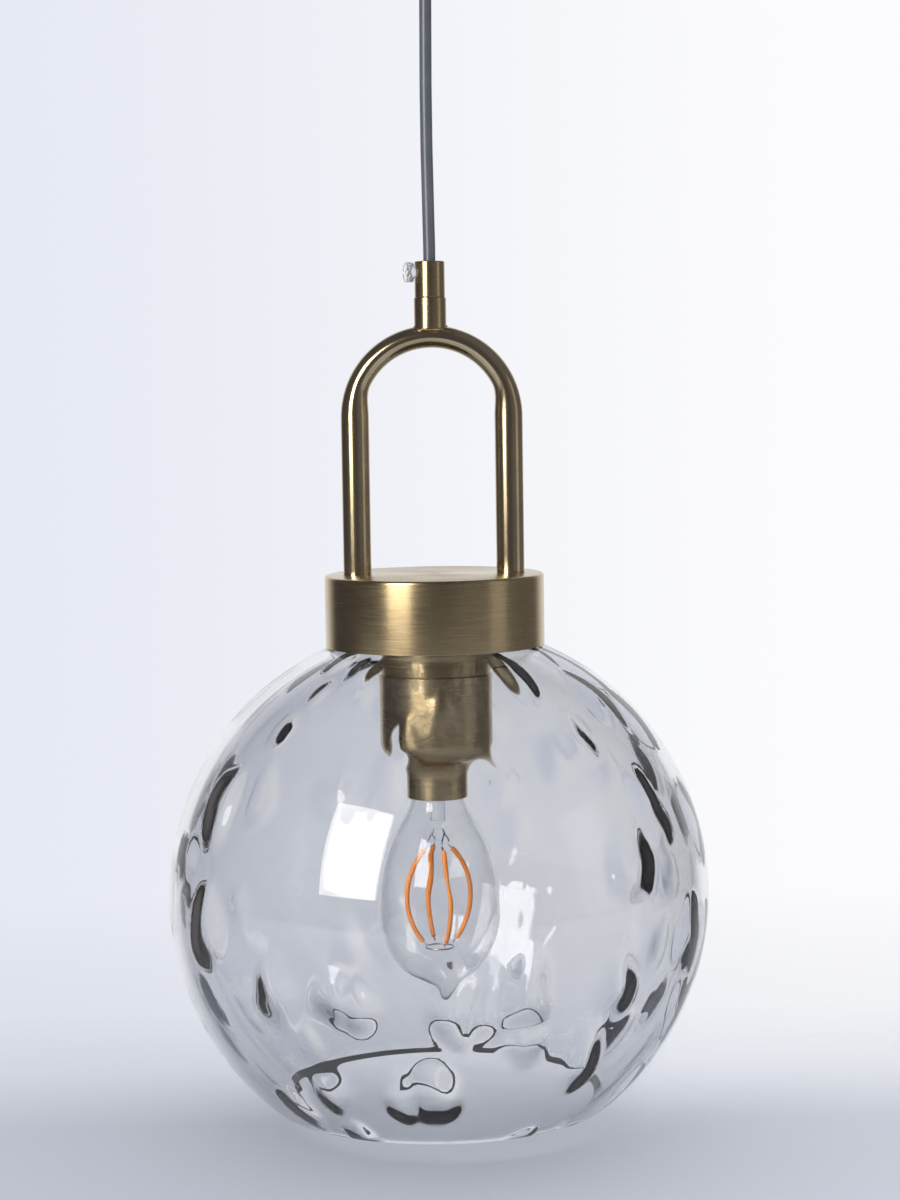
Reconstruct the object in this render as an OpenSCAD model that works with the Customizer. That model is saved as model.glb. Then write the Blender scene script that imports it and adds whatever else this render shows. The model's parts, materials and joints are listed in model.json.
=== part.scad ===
// Pendant ceiling light: a rippled glass globe under a brass collar, carried by a
// U-shaped tube handle that hangs on a round cord from a ceiling canopy.
// Millimetres. +Z is up, the ceiling is the plane z = 0 and the lamp hangs below it on the Z axis.

/* [Ceiling fitting] */
// Outside diameter of the canopy
canopy_d = 110; // [106:1:130]
// Height of the canopy below the ceiling
canopy_h = 25; // [23:1:30]
// Sheet thickness of the canopy
canopy_wall = 1; // [0.8:0.1:1.6]
// Radius of the canopy's rounded lower edge
canopy_edge_r = 4; // [2:0.5:6]
// Length of the ceiling bracket
bracket_l = 94; // [92:1:98]
// Width of the ceiling bracket
bracket_w = 16; // [14:1:20]
// Thickness of the ceiling bracket
bracket_t = 1.5; // [1.2:0.1:2]
// Distance between the two ceiling screw slots
ceiling_screw_spacing = 60; // [54:1:62]
// Width of each ceiling screw slot
ceiling_slot_w = 4.4; // [4:0.1:5]
// End-to-end length of each ceiling screw slot
ceiling_slot_l = 12; // [8:1:12]
// Distance between the two canopy studs
canopy_stud_spacing = 82; // [80:1:84]
// Diameter of the canopy studs
canopy_stud_d = 4; // [3:0.5:5]

/* [Cord and cord grips] */
// Diameter of the round cord
cord_d = 5.6; // [5:0.1:6.2]
// Radial clearance of the cord in its grips
cord_gap = 0.2; // [0.1:0.05:0.4]
// Outside diameter of a cord grip
grip_d = 13.9; // [13:0.1:16]
// Height of the cord grip on the pendant
grip_h = 16.4; // [14:0.2:22]
// Outside diameter of the hollow M10 threads
m10_d = 9.8; // [9.6:0.1:10]
// Depth of the flared mouth of a cord grip
flare_h = 2; // [1.6:0.1:2.6]
// Radius of the flared mouth at its rim
flare_r = 5.2; // [4.8:0.1:5.6]
// Head diameter of the nylon locking screws
lock_head_d = 9.3; // [7:0.1:10]
// Head height of the nylon locking screws
lock_head_h = 3; // [2:0.1:4]
// Shank diameter of the nylon locking screws
lock_shank_d = 4; // [3:0.1:4.6]

/* [Handle] */
// Outside diameter of the handle tube
handle_tube_d = 13; // [11:0.2:14]
// Wall of the handle tube
handle_tube_wall = 1.2; // [0.8:0.1:1.6]
// Distance between the handle's two legs, centre to centre
leg_spacing = 70.5; // [60:0.5:74]
// Height of the handle from the collar to the top of its arch
handle_h = 114; // [80:1:160]
// Outside diameter of the coupler brazed on the arch
coupler_d = 14.8; // [14.2:0.1:17]
// Height of the coupler above the arch
coupler_h = 12.4; // [11.4:0.2:18]

/* [Collar] */
// Outside diameter of the collar
collar_d = 101; // [98:0.5:116]
// Height of the collar
collar_h = 33; // [32:0.5:45]
// Sheet thickness of the collar
collar_wall = 1.2; // [0.8:0.1:1.6]
// Radius of the collar's rounded upper edge
collar_edge_r = 1.6; // [1:0.1:2.4]

/* [Glass globe] */
// Outside diameter of the globe
globe_d = 250; // [220:1:320]
// Wall of the globe
globe_wall = 4; // [3:0.1:5]
// Diameter of the globe's top hole
globe_hole_d = 42; // [40:0.5:43]
// Depth of the globe's open lower edge below its centre
globe_open_drop = 97; // [85:0.5:100]

/* [Lampholder and its cup] */
// Outside diameter of the brass clamp cap inside the globe
clamp_d = 50.4; // [49:0.1:54]
// Visible height of the clamp cap above the socket cup
clamp_band_h = 15.5; // [12:0.5:18]
// Height of the socket cup
cup_h = 57; // [56:0.5:60]
// Wall of the socket cup
cup_wall = 0.7; // [0.5:0.1:1]
// Inside diameter of the socket cup's narrow mouth
cup_mouth_d = 26.7; // [26.6:0.1:30]
// Outside diameter of the lampholder
holder_d = 39; // [36:0.5:42]

/* [Bulb] */
// Largest diameter of the bulb's glass
bulb_d = 57; // [50:0.5:66]
// Length of the bulb's glass below the socket cup
bulb_drop = 87; // [80:0.5:100]
// Wall of the bulb's glass
bulb_wall = 0.8; // [0.6:0.1:1]
// Outside diameter of the bulb's screw cap
bulb_cap_d = 26.2; // [25.6:0.1:26.2]
// Pitch of the bulb's screw thread
bulb_pitch = 3.629; // [3.5:0.001:3.7]
// Diameter of one filament
filament_d = 2.2; // [1.4:0.1:2.6]
// Height of the filaments, end to end
filament_h = 46; // [38:0.5:50]

/* [Hidden] */

brass = "#b08d4c";
steel = "#b9bcc0";
nylon = "#e8edf2";
silicone = "#dfe3e6";
porcelain = "#f3f1ea";
ivory = "#e9e7e0";
cord_grey = "#26282c";
solder = "#a9a7a0";
black_glass = "#1d1d20";
nickel = "#c9c9c6";
board_green = "#3f7a4a";
clear_glass = [0.86, 0.90, 0.95, 0.35];
phosphor = "#e8903c";
live_brown = "#6b3f22";
neutral_blue = "#2f5fa8";
earth_green = "#5f9a3a";

$fn = 96;
arc_steps = 16;
eps = 0.01;
cut = 1;
thread_gap = 0.05;
fit_gap = 0.1;
seam_gap = 0.2;
lead_d = 2.2;
lead_sides = 8;
cord_sides = 12;
lead_circle_r = 1.4;
lead_gap = 0.15;
lead_spread = 1.7;

// The taut cord's route from the canopy grip's mouth down to the pendant grip's mouth
cord_route = [
    [0, 0, -43], [0, 0, -50], [-0.1, 0, -59], [-0.2, 0, -68], [-0.3, 0, -77], [-0.4, 0, -86],
    [-0.5, 0, -95], [-0.5, 0, -104], [-0.5, 0, -113], [-0.5, 0, -122], [-0.4, 0, -131],
    [-0.3, 0, -140], [-0.2, 0, -149], [-0.1, 0, -158], [0, 0, -166], [0, 0, -173]
];
cord_top_z = cord_route[0][2];
cord_end_z = cord_route[len(cord_route) - 1][2];

// Ceiling fitting
bore_r = cord_d / 2 + cord_gap;
m10_r = m10_d / 2;
m10_hole_r = m10_r + thread_gap;
grip_thread_h = 9;
canopy_floor_z = canopy_wall - canopy_h;
canopy_nut_h = 3;
stud_r = canopy_stud_d / 2;
cap_nut_r = 4;
cap_nut_h = 5;
m10_nut_af = 14;
terminal_block_size = [30, 14, 13];
terminal_block_y = bracket_w / 2 + 9;
terminal_pitch = 9;
terminal_way_r = 1.7;
terminal_screw_way_r = 2;
terminal_screw_r = 1.8;
terminal_screw_set = 1;
slot_r = 3;
slot_w = 0.6;
slot_h = 0.8;
ceiling_earth_x = 14;
earth_screw_d = 4;
earth_head_d = 7;
earth_head_h = 2.4;
earth_slot_w = 1;
earth_slot_h = 1;
tail_clearance = 1.2;
tail_end_z = canopy_floor_z + 11;

// Locking screws point to the left and a little to the front
lock_angle = 200;
lock_depth = 5;
lock_head_gap = 1.6;
lock_slot_w = 1.1;
lock_slot_h = 1.2;

// Heights of the pendant, worked down from the cord's lower end
grip_top_z = cord_end_z;
seam_z = grip_top_z - grip_h;
arch_top_z = seam_z - coupler_h;
collar_top_z = arch_top_z - handle_h;
collar_bottom_z = collar_top_z - collar_h;
tube_r = handle_tube_d / 2;
tube_bore_r = tube_r - handle_tube_wall;
leg_x = leg_spacing / 2;
arch_centre_z = arch_top_z - tube_r - leg_x;
saddle_drop = 2.2;
tube_entry_r = 3.6;

// Glass, its seat and its clamp
globe_r = globe_d / 2;
globe_in_r = globe_r - globe_wall;
globe_hole_r = globe_hole_d / 2;
collar_r = collar_d / 2;
collar_in_r = collar_r - collar_wall;
rim_gap = 0.3;
globe_z = collar_bottom_z - rim_gap - dome(globe_r, collar_in_r);
gasket_squeeze = 1.6;
seat_gasket_in_r = globe_hole_r + 2;
seat_gasket_out_r = seat_gasket_in_r + 9;
seat_lip_t = 2;
seat_z = globe_z + dome(globe_r, seat_gasket_in_r) + gasket_squeeze;
seat_t = 1.5;
seat_plate_r = collar_in_r - 0.4;
clamp_r = clamp_d / 2;
clamp_gasket_out_r = clamp_r - 0.2;
clamp_gasket_in_r = globe_hole_r + 1;
clamp_top_z = globe_z + dome(globe_in_r, clamp_gasket_out_r) - gasket_squeeze;
clamp_t = 1;
clamp_wall = 1;
clamp_overlap = 8;
clamp_nut_h = 4;

// Carrier bracket: a hat-shaped strip from the collar's top down to the seat plate
strip_w = 16;
strip_t = 2;
strip_end_x = leg_x + 10;
strip_foot_x = 14;
strip_knee_x = 24;
strip_top_z = collar_top_z - collar_wall;
strip_foot_z = seat_z + seat_t;
nipple_nut_h = 4;
nipple_top_z = strip_foot_z + strip_t + nipple_nut_h + 1;
nipple_bore_r = 3.5;
leg_stud_r = tube_bore_r - thread_gap;
leg_stud_bore_r = leg_stud_r - 1.5;
leg_stud_in = 14;
leg_washer_t = 1.2;
leg_nut_h = 5;
leg_nut_af = 16;
leg_nut_z = strip_top_z - strip_t - leg_washer_t - leg_nut_h;
leg_end_z = leg_nut_z - 1.5;
frame_earth_at = [26, -29];
frame_earth_proud = 1.5;

// Start of the leads below the grip, and the bend that takes them into the tube
lead_start_z = seam_z - grip_thread_h - seam_gap;
lead_turn_r = 5;
lead_sag = 0.3;
arch_axis_z = arch_centre_z + leg_x;
lead_turn_z = arch_axis_z + lead_turn_r - lead_sag;

// The middle line of the leads through the handle: [x, z, outward x, outward z]
lead_line = concat(
    [[0, lead_start_z, 1, 0], [0, (lead_start_z + lead_turn_z + lead_sag) / 2, 1, 0]],
    [
        for (a = [180:30:270])
            [lead_turn_r * (1 + cos(a)), lead_turn_z + lead_turn_r * sin(a), -cos(a), -sin(a)]
    ],
    [
        for (a = [75:-12.5:0])
            [leg_x * cos(a), arch_centre_z + leg_x * sin(a), cos(a), sin(a)]
    ],
    [for (i = [1:3]) [leg_x, arch_centre_z + (leg_end_z - arch_centre_z) * i / 3, 1, 0]]
);

// Lampholder
holder_r = holder_d / 2;
holder_cap_top_z = clamp_top_z - clamp_t - clamp_nut_h - 1;
holder_cap_h = 17;
holder_cap_wall = 2;
holder_entry_t = 4;
nipple_end_z = holder_cap_top_z - holder_entry_t;
holder_body_z = holder_cap_top_z - holder_cap_h;
holder_floor_t = 6;
holder_floor_z = holder_body_z - holder_floor_t;
holder_body_h = 32;
holder_neck_h = 10;
holder_neck_r = 16.2;
shell_gap = 0.25;
shell_wall = 0.4;
shell_h = 25;
shell_in_r = bulb_cap_d / 2 + shell_gap;
shell_r = shell_in_r + shell_wall;
holder_bore_r = shell_r + 0.3;
terminal_y = 9;
terminal_size = [6, 5, 5];
wire_way_r = 1.3;
pinch_r = 1.25;
pinch_proud = 0.5;
pinch_head_r = 2.2;
pinch_head_h = 1.6;
shell_flange_r = 10;
tongue_t = 0.6;
tongue_w = 6;
tongue_foot = 7;
tongue_tip = 2.5;

// Socket cup
cup_top_z = clamp_top_z - clamp_band_h;
cup_end_z = cup_top_z - cup_h;
cup_in_r = clamp_r + fit_gap;
cup_mouth_r = cup_mouth_d / 2;
cup_mouth_h = 9.5;
cup_curve_h = 17;

// Bulb
cap_r = bulb_cap_d / 2;
cap_recess = 6;
cap_wall = 0.3;
cap_h = 24;
cap_cone_h = 2;
cap_cone_r = 8;
cap_rim_z = cup_end_z + cap_recess;
cap_top_z = cap_rim_z + cap_h;
insulator_h = 1.8;
contact_h = 1;
contact_r = 4.5;
contact_top_z = cap_top_z + insulator_h + contact_h;
contact_gap = 0.1;
bulb_r = bulb_d / 2;
neck_r = cap_r - cap_wall - 0.2;
neck_in_cap = 8;
bulb_end_z = cup_end_z - bulb_drop;
bulb_wide_z = cup_end_z - bulb_drop * 0.615;
stem_r = 3.5;
stem_end_z = cup_end_z - 11;
press_h = 4;
press_t = 3;
lead_wire_d = 0.8;
filament_top_z = stem_end_z - press_h - 8;
filament_end_z = filament_top_z - filament_h;
filament_top_r = 5;
filament_end_r = 6.5;
filament_bow = 10;
filament_start_angle = 20;
driver_z = cap_top_z - 9;
board_r = 10;
board_t = 1.2;
capacitor_r = 4;
capacitor_h = 6;

// Height of a sphere of radius r above its centre, at a distance x from its axis
function dome(r, x) = sqrt(r * r - x * x);

// Points of a circular arc between two angles
function arc(cx, cy, r, a0, a1, n = arc_steps) =
    [for (i = [0:n]) let (a = a0 + (a1 - a0) * i / n) [cx + r * cos(a), cy + r * sin(a)]];

// Points of a cubic curve with two handles
function curve(p0, p1, p2, p3, n = arc_steps) = [
    for (i = [0:n]) let (t = i / n, s = 1 - t)
        s * s * s * p0 + 3 * s * s * t * p1 + 3 * s * t * t * p2 + t * t * t * p3
];

// A double bend from (r0, z0) down to (r1, z1), upright at both ends
function shoulder(r0, z0, r1, z1) = let (
    turn = 2 * atan((r0 - r1) / (z0 - z1)),
    bend = (z0 - z1) / (2 * sin(turn))
) concat(
    arc(r0 - bend, z0, bend, 0, -turn, arc_steps / 2),
    arc(r1 + bend, z1, bend, 180 - turn, 180, arc_steps / 2)
);

function unit(v) = v / norm(v);

function reversed(p) = [for (i = [len(p) - 1:-1:0]) p[i]];

// A smooth line through the points p, with n steps between neighbours
function smooth(p, n) = [
    for (i = [0:len(p) - 2], j = [0:n - 1]) let (
        t = j / n,
        a = p[max(i - 1, 0)],
        b = p[i],
        c = p[i + 1],
        d = p[min(i + 2, len(p) - 1)]
    ) 0.5 * (2 * b + (c - a) * t + (2 * a - 5 * b + 4 * c - d) * t * t
        + (3 * b - a - 3 * c + d) * t * t * t),
    p[len(p) - 1]
];

// A round tube of diameter d along a line of points; side is never along the line
module swept(path, d, sides, side) {
    last = len(path) - 1;
    rings = [
        for (i = [0:last]) let (
            t = unit(path[min(i + 1, last)] - path[max(i - 1, 0)]),
            u = unit(cross(side, t)),
            v = cross(t, u)
        ) for (k = [0:sides - 1]) let (a = 360 * k / sides)
            path[i] + d / 2 * (cos(a) * u + sin(a) * v)
    ];
    walls = [
        for (i = [0:last - 1], k = [0:sides - 1]) let (m = (k + 1) % sides)
            [i * sides + k, (i + 1) * sides + k, (i + 1) * sides + m, i * sides + m]
    ];
    polyhedron(
        rings,
        concat(
            [[for (k = [0:sides - 1]) k]],
            walls,
            [[for (k = [sides - 1:-1:0]) last * sides + k]]
        )
    );
}

// A pipe standing on z
module pipe(r, bore, z, h) {
    translate([0, 0, z]) difference() {
        cylinder(r = r, h = h);
        translate([0, 0, -cut]) cylinder(r = bore, h = h + 2 * cut);
    }
}

// A six-sided nut standing on z
module hex_nut(af, bore, z, h) {
    translate([0, 0, z]) difference() {
        cylinder(r = af / 2 / cos(30), h = h, $fn = 6);
        translate([0, 0, -cut]) cylinder(r = bore, h = h + 2 * cut);
    }
}

// A pair of pieces on the two legs of the handle
module on_legs() {
    for (x = [-leg_x, leg_x]) translate([x, 0, 0]) children();
}

// Turns a piece made along +X to point along a locking screw, at height z
module at_lock(z) {
    translate([0, 0, z]) rotate([0, 0, lock_angle]) children();
}

// The tapped hole for a locking screw
module lock_hole(z) {
    at_lock(z) rotate([0, 90, 0]) cylinder(r = lock_shank_d / 2 + thread_gap, h = grip_d);
}

// A slotted nylon screw that pinches the cord
module lock_screw(z) {
    tip = cord_d / 2 + fit_gap;
    head_x = grip_d / 2 + lock_head_gap;
    color(nylon) at_lock(z) difference() {
        union() {
            translate([tip, 0, 0]) rotate([0, 90, 0])
                cylinder(r = lock_shank_d / 2, h = head_x - tip + eps);
            translate([head_x, 0, 0]) rotate([0, 90, 0])
                cylinder(r = lock_head_d / 2, h = lock_head_h);
        }
        translate([head_x + lock_head_h - lock_slot_h, -lock_head_d, -lock_slot_w / 2])
            cube([lock_head_h, 2 * lock_head_d, lock_slot_w]);
    }
}

// Cut for a screwdriver, from z upwards
module driver_slot(z) {
    translate([-slot_r, -slot_w / 2, z]) cube([2 * slot_r, slot_w, slot_h + cut]);
}

// A pan-headed screw with its head's seat at z, its shank pointing up (dir 1) or down (dir -1)
module pan_screw(z, shank, dir) {
    translate([0, 0, z]) mirror([0, 0, dir > 0 ? 0 : 1]) {
        translate([0, 0, -eps]) cylinder(r = earth_screw_d / 2, h = shank + eps);
        translate([0, 0, -earth_head_h]) difference() {
            cylinder(r = earth_head_d / 2, h = earth_head_h);
            translate([-earth_head_d, -earth_slot_w / 2, -cut])
                cube([2 * earth_head_d, earth_slot_w, cut + earth_slot_h]);
        }
    }
}

// ---- Ceiling fitting ----

// Steel strip that is screwed to the ceiling through its two slots
module ceiling_bracket() {
    slot_in = ceiling_slot_l - ceiling_slot_w;
    color(steel) difference() {
        translate([-bracket_l / 2, -bracket_w / 2, -bracket_t])
            cube([bracket_l, bracket_w, bracket_t]);
        for (s = [-1, 1]) translate([s * ceiling_screw_spacing / 2, 0, -bracket_t - cut]) {
            for (x = [-slot_in / 2, slot_in / 2]) translate([x, 0, 0])
                cylinder(r = ceiling_slot_w / 2, h = bracket_t + 2 * cut);
            translate([-slot_in / 2, -ceiling_slot_w / 2, 0])
                cube([slot_in, ceiling_slot_w, bracket_t + 2 * cut]);
        }
        for (s = [-1, 1]) translate([s * canopy_stud_spacing / 2, 0, -bracket_t - cut])
            cylinder(r = stud_r + thread_gap, h = bracket_t + 2 * cut);
        translate([ceiling_earth_x, 0, -bracket_t - cut])
            cylinder(r = earth_screw_d / 2 + thread_gap, h = bracket_t + 2 * cut);
    }
}

// Two threaded studs that hang from the bracket and carry the canopy
module canopy_studs() {
    stud_l = canopy_h + cap_nut_h - 1;
    color(steel) for (s = [-1, 1]) translate([s * canopy_stud_spacing / 2, 0, -stud_l])
        cylinder(r = stud_r, h = stud_l);
}

// Spun brass cover, open at the ceiling
module canopy() {
    r = canopy_d / 2;
    e = canopy_edge_r;
    t = canopy_wall;
    color(brass) difference() {
        rotate_extrude() polygon(concat(
            [[0, -canopy_h]],
            arc(r - e, e - canopy_h, e, -90, 0),
            [[r, 0], [r - t, 0]],
            arc(r - e, e - canopy_h, e - t, 0, -90),
            [[0, t - canopy_h]]
        ));
        translate([0, 0, -canopy_h - cut]) cylinder(r = m10_hole_r, h = t + 2 * cut);
        for (s = [-1, 1]) translate([s * canopy_stud_spacing / 2, 0, -canopy_h - cut])
            cylinder(r = stud_r + fit_gap, h = t + 2 * cut);
    }
}

// Domed nuts under the canopy
module canopy_cap_nuts() {
    color(brass) for (s = [-1, 1]) translate([s * canopy_stud_spacing / 2, 0, -canopy_h])
        mirror([0, 0, 1]) difference() {
            union() {
                cylinder(r = cap_nut_r, h = cap_nut_h);
                translate([0, 0, cap_nut_h]) intersection() {
                    sphere(r = cap_nut_r);
                    cylinder(r = cap_nut_r, h = cap_nut_r);
                }
            }
            translate([0, 0, -cut]) cylinder(r = stud_r + thread_gap, h = cap_nut_h + cut);
        }
}

// Brass barrel that clamps the cord under the canopy
module canopy_grip() {
    color(brass) difference() {
        union() {
            translate([0, 0, cord_top_z]) cylinder(r = grip_d / 2, h = -canopy_h - cord_top_z);
            translate([0, 0, -canopy_h - eps]) cylinder(r = m10_r, h = grip_thread_h + eps);
        }
        translate([0, 0, cord_top_z - cut]) cylinder(r = bore_r, h = canopy_h - cord_top_z);
        translate([0, 0, cord_top_z]) mirror([0, 0, 1]) translate([0, 0, -flare_h])
            cylinder(r1 = bore_r, r2 = flare_r, h = flare_h + eps);
        lock_hole(cord_top_z + lock_depth);
    }
}

// Nut that holds the grip's thread above the canopy's floor
module canopy_grip_nut() {
    color(steel) hex_nut(m10_nut_af, m10_hole_r, canopy_floor_z, canopy_nut_h);
}

module canopy_lock_screw() {
    lock_screw(cord_top_z + lock_depth);
}

// Three-way connector beside the bracket
module terminal_block() {
    s = terminal_block_size;
    color(ivory) translate([0, terminal_block_y, -bracket_t - s[2]]) difference() {
        translate([-s[0] / 2, 0, 0]) cube(s);
        for (x = [-terminal_pitch, 0, terminal_pitch]) translate([x, 0, s[2] / 2]) {
            translate([0, -cut, 0]) rotate([-90, 0, 0])
                cylinder(r = terminal_way_r, h = s[1] + 2 * cut);
            translate([0, s[1] / 2, -s[2]]) cylinder(r = terminal_screw_way_r, h = s[2]);
        }
    }
}

// Clamping screws of the connector, driven from below
module terminal_screws() {
    s = terminal_block_size;
    low = terminal_screw_set - bracket_t - s[2];
    h = s[2] / 2 - terminal_screw_set - terminal_way_r - seam_gap;
    color(steel) for (x = [-terminal_pitch, 0, terminal_pitch])
        translate([x, terminal_block_y + s[1] / 2, low]) difference() {
            cylinder(r = terminal_screw_r, h = h);
            mirror([0, 0, 1]) driver_slot(-slot_h);
        }
}

// Screw that bonds the earth lead to the bracket
module ceiling_earth_screw() {
    color(brass) translate([ceiling_earth_x, 0, 0]) pan_screw(-bracket_t, bracket_t, 1);
}

// The cord's sheathed end inside the canopy grip
module cord_tail() {
    start = cord_top_z + tail_clearance;
    color(cord_grey) translate([0, 0, start]) cylinder(r = cord_d / 2, h = tail_end_z - start);
}

// A lead from the cord's end inside the canopy, through the points given
module ceiling_lead(colour, slot, points) {
    start = [
        lead_circle_r * cos(90 + 120 * slot),
        lead_circle_r * sin(90 + 120 * slot),
        tail_end_z + lead_gap
    ];
    color(colour) swept(
        smooth(concat([start, start + [0, 0, 0.8], start + [0, 0, 1.6]], points), 4),
        lead_d, lead_sides, [1, 0.15, 0]
    );
}

// The end of a ceiling lead inside one way of the terminal block
function terminal_entry(x) = [
    [x * 0.5, terminal_block_y - 10, tail_end_z + 4.5],
    [x, terminal_block_y - 2, -bracket_t - terminal_block_size[2] / 2],
    [x, terminal_block_y + 3.5, -bracket_t - terminal_block_size[2] / 2]
];

module ceiling_live_lead() {
    ceiling_lead(live_brown, 1, terminal_entry(-terminal_pitch));
}

module ceiling_neutral_lead() {
    ceiling_lead(neutral_blue, 0, terminal_entry(0));
}

module ceiling_earth_lead() {
    ceiling_lead(earth_green, 2, terminal_entry(terminal_pitch));
}

// ---- Cord ----

// The taut cord between the two grips
module power_cord() {
    color(cord_grey) swept(cord_route, cord_d, cord_sides, [0, 1, 0]);
}

// Brass barrel that clamps the cord's lower end, screwed into the coupler
module cord_grip() {
    color(brass) difference() {
        union() {
            translate([0, 0, seam_z]) cylinder(r = grip_d / 2, h = grip_h);
            translate([0, 0, seam_z - grip_thread_h]) cylinder(r = m10_r, h = grip_thread_h + eps);
        }
        translate([0, 0, seam_z - grip_thread_h - cut])
            cylinder(r = bore_r, h = grip_h + grip_thread_h + 2 * cut);
        translate([0, 0, grip_top_z - flare_h])
            cylinder(r1 = bore_r, r2 = flare_r, h = flare_h + eps);
        lock_hole(grip_top_z - lock_depth);
    }
}

module grip_lock_screw() {
    lock_screw(grip_top_z - lock_depth);
}

// The cord's sheathed lower end inside the grip
module cord_sheath_end() {
    start = grip_top_z - tail_clearance;
    end = seam_z - grip_thread_h;
    color(cord_grey) translate([0, 0, end]) cylinder(r = cord_d / 2, h = start - end);
}

// ---- Handle ----

// The bent tube, solid, of radius r
module bent_bar(r) {
    translate([0, 0, arch_centre_z]) rotate([90, 0, 0])
        rotate_extrude(angle = 180) translate([leg_x, 0]) circle(r = r);
    on_legs() translate([0, 0, collar_top_z]) cylinder(r = r, h = arch_centre_z - collar_top_z);
}

// Turned brass boss, cut to sit on the arch and brazed to it
module handle_coupler() {
    base = arch_top_z - saddle_drop;
    color(brass) difference() {
        translate([0, 0, base]) cylinder(r = coupler_d / 2, h = seam_z - base);
        bent_bar(tube_r);
        translate([0, 0, seam_z - grip_thread_h - seam_gap])
            cylinder(r = m10_hole_r, h = coupler_h);
        translate([0, 0, base - cut]) cylinder(r = tube_entry_r, h = coupler_h);
    }
}

// One tube bent to an upside-down U
module handle_tube() {
    color(brass) difference() {
        bent_bar(tube_r);
        bent_bar(tube_bore_r);
        on_legs() translate([0, 0, collar_top_z - cut]) cylinder(r = tube_bore_r, h = 2 * cut);
        translate([0, 0, arch_top_z - tube_r]) cylinder(r = tube_entry_r, h = 2 * tube_r);
    }
}

// Hollow threaded studs fixed in the ends of the legs
module leg_studs() {
    color(steel) on_legs()
        pipe(leg_stud_r, leg_stud_bore_r, leg_end_z, collar_top_z + leg_stud_in - leg_end_z);
}

module leg_washers() {
    color(steel) on_legs()
        pipe(leg_nut_af / 2, leg_stud_r + fit_gap, leg_nut_z + leg_nut_h, leg_washer_t);
}

module leg_nuts() {
    color(steel) on_legs() hex_nut(leg_nut_af, leg_stud_r + thread_gap, leg_nut_z, leg_nut_h);
}

// The part of a lead that runs inside the handle
function lead_in_handle(slot) = let (
    side = lead_circle_r * cos(90 + 120 * slot),
    deep = lead_circle_r * sin(90 + 120 * slot)
) [for (p = lead_line) [p[0] + side * p[2], deep, p[1] + side * p[3]]];

// The part of a lead that runs from the leg over to the nipple and down to the lampholder
function lead_to_holder(slot, end_y) = let (
    side = lead_circle_r * cos(90 + 120 * slot),
    deep = lead_circle_r * sin(90 + 120 * slot),
    wide = lead_spread * side,
    far = lead_spread * deep,
    end_z = holder_body_z + terminal_size[2] + lead_gap
) [
    [leg_x - 1 + side, 3 + far, leg_end_z - 2.5],
    [leg_x - 7, 10 + far, leg_end_z - 4 - wide],
    [leg_x - 16, 13 + far, leg_end_z - 3 - wide],
    [12, 11 + far, nipple_top_z + 3 - wide],
    [4, 4 + far, nipple_top_z + 5 - wide],
    [side, deep, nipple_top_z + 1],
    [side, deep, (nipple_top_z + nipple_end_z) / 2],
    [side, deep, nipple_end_z],
    [side, (deep + end_y) / 2, nipple_end_z - 2.5],
    [0, end_y, end_z + 2],
    [0, end_y, end_z + 1],
    [0, end_y, end_z]
];

module live_wire() {
    color(live_brown) swept(
        smooth(concat(lead_in_handle(1), lead_to_holder(1, -terminal_y)), 3),
        lead_d, lead_sides, [0.1, 1, 0.1]
    );
}

module neutral_wire() {
    color(neutral_blue) swept(
        smooth(concat(lead_in_handle(0), lead_to_holder(0, terminal_y)), 3),
        lead_d, lead_sides, [0.1, 1, 0.1]
    );
}

// The earth lead ends under a screw on the seat plate
module earth_wire() {
    end = [frame_earth_at[0], frame_earth_at[1], seat_z + seat_t + lead_d / 2];
    color(earth_green) swept(
        smooth(concat(lead_in_handle(2), [
            [leg_x - 0.5, -3, leg_end_z - 2.5],
            [leg_x - 2, -10, seat_z + seat_t + 3.5],
            [end[0] + 5, end[1] + 9, end[2] + 0.2],
            end + [1.6, 4.2, 0]
        ]), 3),
        lead_d, lead_sides, [1, 0.1, 0.1]
    );
}

module frame_earth_screw() {
    color(brass) translate([frame_earth_at[0], frame_earth_at[1], 0])
        pan_screw(seat_z + seat_t, seat_t + frame_earth_proud, -1);
}

// ---- Collar and what it hides ----

// Brushed brass drum, open at the bottom, with a hole for each leg's stud
module collar() {
    e = collar_edge_r;
    t = collar_wall;
    h = collar_h;
    color(brass) difference() {
        translate([0, 0, collar_bottom_z]) rotate_extrude() polygon(concat(
            [[collar_in_r, 0], [collar_r, 0]],
            arc(collar_r - e, h - e, e, 0, 90),
            [[0, h], [0, h - t], [collar_in_r, h - t]]
        ));
        on_legs() translate([0, 0, strip_top_z - cut])
            cylinder(r = leg_stud_r + fit_gap, h = t + 2 * cut);
    }
}

// Hat-shaped steel strip bolted under the collar's top by the leg nuts
module carrier_bracket() {
    top = strip_top_z;
    low = strip_foot_z;
    t = strip_t;
    half = concat(
        [[strip_end_x, top], [strip_end_x, top - t], [strip_knee_x + t, top - t]],
        [[strip_foot_x + t, low], [0, low]]
    );
    inner = [[0, low + t], [strip_foot_x, low + t], [strip_knee_x, top]];
    color(steel) difference() {
        for (s = [0, 1]) mirror([s, 0, 0]) translate([0, strip_w / 2, 0]) rotate([90, 0, 0])
            linear_extrude(strip_w) polygon(concat(inner, half));
        translate([0, 0, low - cut]) cylinder(r = m10_hole_r, h = t + 2 * cut);
        on_legs() translate([0, 0, top - t - cut])
            cylinder(r = leg_stud_r + fit_gap, h = t + 2 * cut);
    }
}

// Hollow M10 rod that carries the glass and the lampholder
module hollow_nipple() {
    color(steel) pipe(m10_r, nipple_bore_r, nipple_end_z, nipple_top_z - nipple_end_z);
}

module nipple_nut() {
    color(steel) hex_nut(leg_nut_af, m10_hole_r, strip_foot_z + strip_t, nipple_nut_h);
}

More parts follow.
